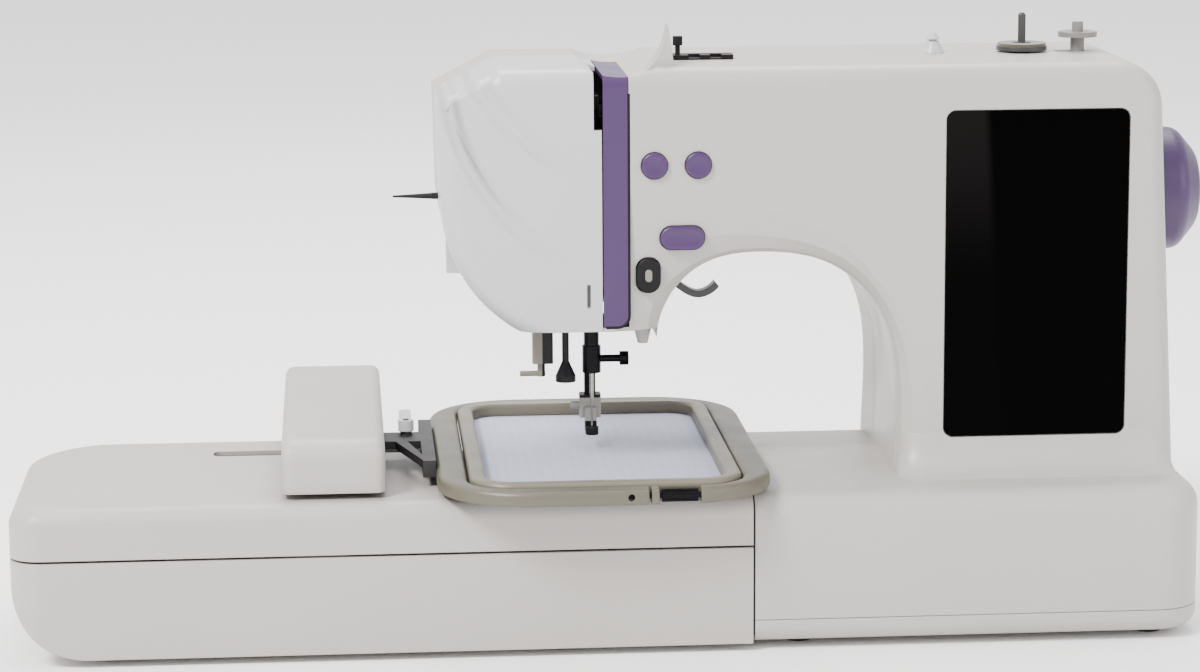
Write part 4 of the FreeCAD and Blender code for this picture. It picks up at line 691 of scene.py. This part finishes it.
# %% Black and grey start key
start_low, start_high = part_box("start_button")
START_HALF = ((start_high.x - start_low.x) / 2, (start_high.z - start_low.z) / 2)
GREY_WIDE = 0.3
GREY_TALL = 0.36
GREY_CORNER = 0.29
GREY_THICK = 1.2 * MM
GREY_RIM = 0.5 * MM
GREY_SUNK = 1.1 * MM
key_cap("start_key_surround", "start_button", KEY_THICK, BLACK, "start_key")
middle_bm = bmesh.new()
face, _ = rounded_outline(middle_bm, (0, 0, 0), START_HALF[0] * GREY_WIDE,
                          START_HALF[1] * GREY_TALL, START_HALF[0] * GREY_CORNER, steps=12)
raise_face(middle_bm, [face], GREY_THICK)
round_rims(middle_bm, rims(middle_bm, GREY_THICK), GREY_RIM, segments=4)
bmesh.ops.rotate(middle_bm, matrix=FACE_FORWARD, verts=middle_bm.verts)
bmesh.ops.translate(middle_bm, verts=middle_bm.verts,
                    vec=((start_low.x + start_high.x) / 2, start_low.y + GREY_SUNK,
                         (start_low.z + start_high.z) / 2))
new_piece("start_key_middle", middle_bm, GREY_TRIM, "start_key")
print("start key:", [round(2000 * half, 1) for half in START_HALF], "mm")

# %% [markdown]
# ## Painted seam shadow and sight mark
# A thin black strip round the purple channel's lower corner is painted shadow: it stands for the
# shade in the joint between the channel and the arm. It is a ribbon: points along the joint,
# each with a left and a right edge, joined into faces and given depth. A small dark plate lies in
# the cover's slot, as the mark that shows where the thread's end goes.


# %% Painted shadow strip round the thread channel, and the mark in the cover
def ribbon(points, width, front, depth):
    """A bmesh ribbon along points of the XZ plane, from a front depth backwards."""
    bm = bmesh.new()
    edges = []
    for count, point in enumerate(points):
        way = points[min(count + 1, len(points) - 1)] - points[max(count - 1, 0)]
        side = Vector((-way.y, way.x)).normalized() * width / 2
        edges.append([bm.verts.new((place.x, front, place.y))
                      for place in (point - side, point + side)])
    faces = [bm.faces.new((*first, *reversed(second)))
             for first, second in zip(edges, edges[1:])]
    made = bmesh.ops.extrude_face_region(bm, geom=faces)["geom"]
    back = [item for item in made if isinstance(item, bmesh.types.BMVert)]
    bmesh.ops.translate(bm, vec=(0, depth, 0), verts=back)
    return bm


channel_low, channel_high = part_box("thread_channel")
# The black ribbon below is a painted shadow: it stands for the shade in the seam round the
# channel.
SHADOW_STRIP_WIDE = 1.3 * MM
SHADOW_STRIP_DEEP = 1.4 * MM
SHADOW_STRIP_PROUD = 0.12 * MM
SHADOW_STRIP_OUT = 0.3 * MM
SHADOW_STRIP_BELOW_TOP = 9 * MM
BEND = 6 * MM
BEND_STEPS = 12
shadow_strip_x = channel_high.x + SHADOW_STRIP_OUT
shadow_strip_z = channel_low.z - SHADOW_STRIP_OUT
shadow_strip_points = [Vector((shadow_strip_x, channel_high.z - SHADOW_STRIP_BELOW_TOP))]
for step in range(BEND_STEPS + 1):
    angle = math.radians(-90 * step / BEND_STEPS)
    shadow_strip_points.append(Vector((shadow_strip_x - BEND + BEND * math.cos(angle),
                               shadow_strip_z + BEND + BEND * math.sin(angle))))
shadow_strip_points.append(Vector((channel_low.x + MM, shadow_strip_z)))
shadow_strip_bm = ribbon(shadow_strip_points, SHADOW_STRIP_WIDE, channel_low.y - SHADOW_STRIP_PROUD, SHADOW_STRIP_DEEP)
new_piece("channel_painted_shadow", shadow_strip_bm, BLACK, "machine")

MARK_LEFT = -15.75 * MM
MARK_RIGHT = -14.45 * MM
MARK_LOW = 167.6 * MM
MARK_HIGH = 178.4 * MM
MARK_CORNER = 0.5 * MM
MARK_THICK = 0.5 * MM
MARK_SUNK = 0.75 * MM
cover_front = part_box("head_cover")[0].y
mark_bm = bmesh.new()
face, _ = rounded_outline(mark_bm, (0, 0, 0), (MARK_RIGHT - MARK_LEFT) / 2,
                          (MARK_HIGH - MARK_LOW) / 2, MARK_CORNER)
raise_face(mark_bm, [face], MARK_THICK)
bmesh.ops.rotate(mark_bm, matrix=FACE_FORWARD, verts=mark_bm.verts)
bmesh.ops.translate(mark_bm, verts=mark_bm.verts,
                    vec=((MARK_LEFT + MARK_RIGHT) / 2, cover_front + MARK_SUNK,
                         (MARK_LOW + MARK_HIGH) / 2))
new_piece("cover_mark", mark_bm, LEVER_GREY, "machine")
print("bead points:", len(shadow_strip_points))

# %% [markdown]
# ## Knurled screws
# Fingers tighten the needle's screw and the hoop's screw, so their heads are knurled: a ring of
# fine grooves along the head. Each is a cylinder with a face for every flat of the knurl, and
# every second face is inset and sunk.


# %% Knurled heads
GROOVE_LIP = 0.05 * MM
GROOVE_DEEP = 0.28 * MM


def knurled_screw(name, node, rod_radius, head_radius, head_low, head_high, teeth, material,
                  body):
    """A screw along X with a knurled head, in the place of a CAD screw."""
    low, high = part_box(node)
    middle = (low + high) / 2
    bm = bmesh.new()
    for radius, left, right, segments in ((rod_radius, low.x, high.x, 24),
                                          (head_radius, head_low, head_high, 2 * teeth)):
        before = set(bm.verts)
        bmesh.ops.create_cone(bm, cap_ends=True, segments=segments, radius1=radius,
                              radius2=radius, depth=right - left)
        added = [vert for vert in bm.verts if vert not in before]
        bmesh.ops.rotate(bm, matrix=Matrix.Rotation(math.radians(90), 3, "Y"), verts=added)
        bmesh.ops.translate(bm, vec=((left + right) / 2, middle.y, middle.z), verts=added)
    sides = [item for item in bm.faces
             if len(item.verts) == 4 and abs(item.normal.x) < 0.1
             and item.calc_center_median().x > head_low
             and (item.verts[0].co.yz - middle.yz).length > rod_radius * 1.2]
    sides.sort(key=lambda item: math.atan2(item.normal.z, item.normal.y))
    bmesh.ops.inset_individual(bm, faces=sides[::2], thickness=GROOVE_LIP, depth=-GROOVE_DEEP)
    return new_piece(name, bm, material, body, [node], sharp_degrees=25)


clamp_low, clamp_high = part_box("clamp_screw")
knurled_screw("needle_clamp_screw", "clamp_screw", rod_radius=1.9 * MM,
              head_radius=(clamp_high.z - clamp_low.z) / 2,
              head_low=clamp_high.x - 4.5 * MM, head_high=clamp_high.x, teeth=18,
              material=DARK_STEEL, body="needle_group")
knurled_screw("hoop_screw_knurled", "hoop_screw", rod_radius=1.6 * MM, head_radius=3.2 * MM,
              head_low=KNOB_LEFT + 1.5 * MM, head_high=KNOB_RIGHT - 1.5 * MM, teeth=24,
              material=DARK_STEEL, body="hoop_tightener")
print("knurled screws made")

# %% [markdown]
# ## Studio
# A plain pale floor and three soft lights: a strong one from the upper left, a wide fill from
# the right, and one from above and behind that lifts the top edges. The camera stands a little
# above the machine and some way off, with a long lens, so that lines stay nearly parallel.

# %% Floor, lights and camera
floor_bm = bmesh.new()
FLOOR_REACH = 15
bmesh.ops.create_grid(floor_bm, x_segments=8, y_segments=8, size=FLOOR_REACH)
floor_mesh = bpy.data.meshes.new("studio_floor")
floor_bm.to_mesh(floor_mesh)
floor_bm.free()
floor = bpy.data.objects.new("studio_floor", floor_mesh)
bpy.context.scene.collection.objects.link(floor)
PAINT = matte("painted_board_white", "#F1F0EE", "#F5F4F2", 400, 0.01, 0.8)
floor_mesh.materials.append(PAINT)

room = bpy.data.worlds.new("studio_room")
room.use_nodes = True
backdrop = room.node_tree.nodes["Background"]
backdrop.inputs["Color"].default_value = from_hex("#F6F7FA")
backdrop.inputs["Strength"].default_value = 1.9
bpy.context.scene.world = room


def soft_light(name, place, target, size, watts):
    """A square area light that faces a point."""
    lamp = bpy.data.lights.new(name, "AREA")
    lamp.size = size
    lamp.energy = watts
    holder = bpy.data.objects.new(name, lamp)
    holder.location = place
    way = Vector(target) - Vector(place)
    holder.rotation_euler = way.to_track_quat("-Z", "Y").to_euler()
    bpy.context.scene.collection.objects.link(holder)


MIDDLE = (0, 0, 0.15)
soft_light("key_light", (-1.3, -1.2, 1.9), MIDDLE, size=0.6, watts=105)
soft_light("fill_light", (1.6, -1.4, 1.0), MIDDLE, size=1.4, watts=16)
soft_light("top_light", (0.1, 0.9, 1.9), MIDDLE, size=1.2, watts=46)

camera_data = bpy.data.cameras.new("studio_camera")
camera_data.sensor_width = 36
camera_data.lens = 105
camera = bpy.data.objects.new("studio_camera", camera_data)
camera.location = (-0.1385, -1.7685, 0.465)
CAMERA_TURN = math.radians(-4.3)
CAMERA_TILT = math.radians(90 - 10.3)
CAMERA_ROLL = math.radians(-0.35)
camera.rotation_euler = (Matrix.Rotation(CAMERA_TURN, 3, "Z")
                         @ Matrix.Rotation(CAMERA_TILT, 3, "X")
                         @ Matrix.Rotation(CAMERA_ROLL, 3, "Z")).to_euler()
bpy.context.scene.collection.objects.link(camera)
bpy.context.scene.camera = camera
print("camera at", [round(part, 3) for part in camera.location])
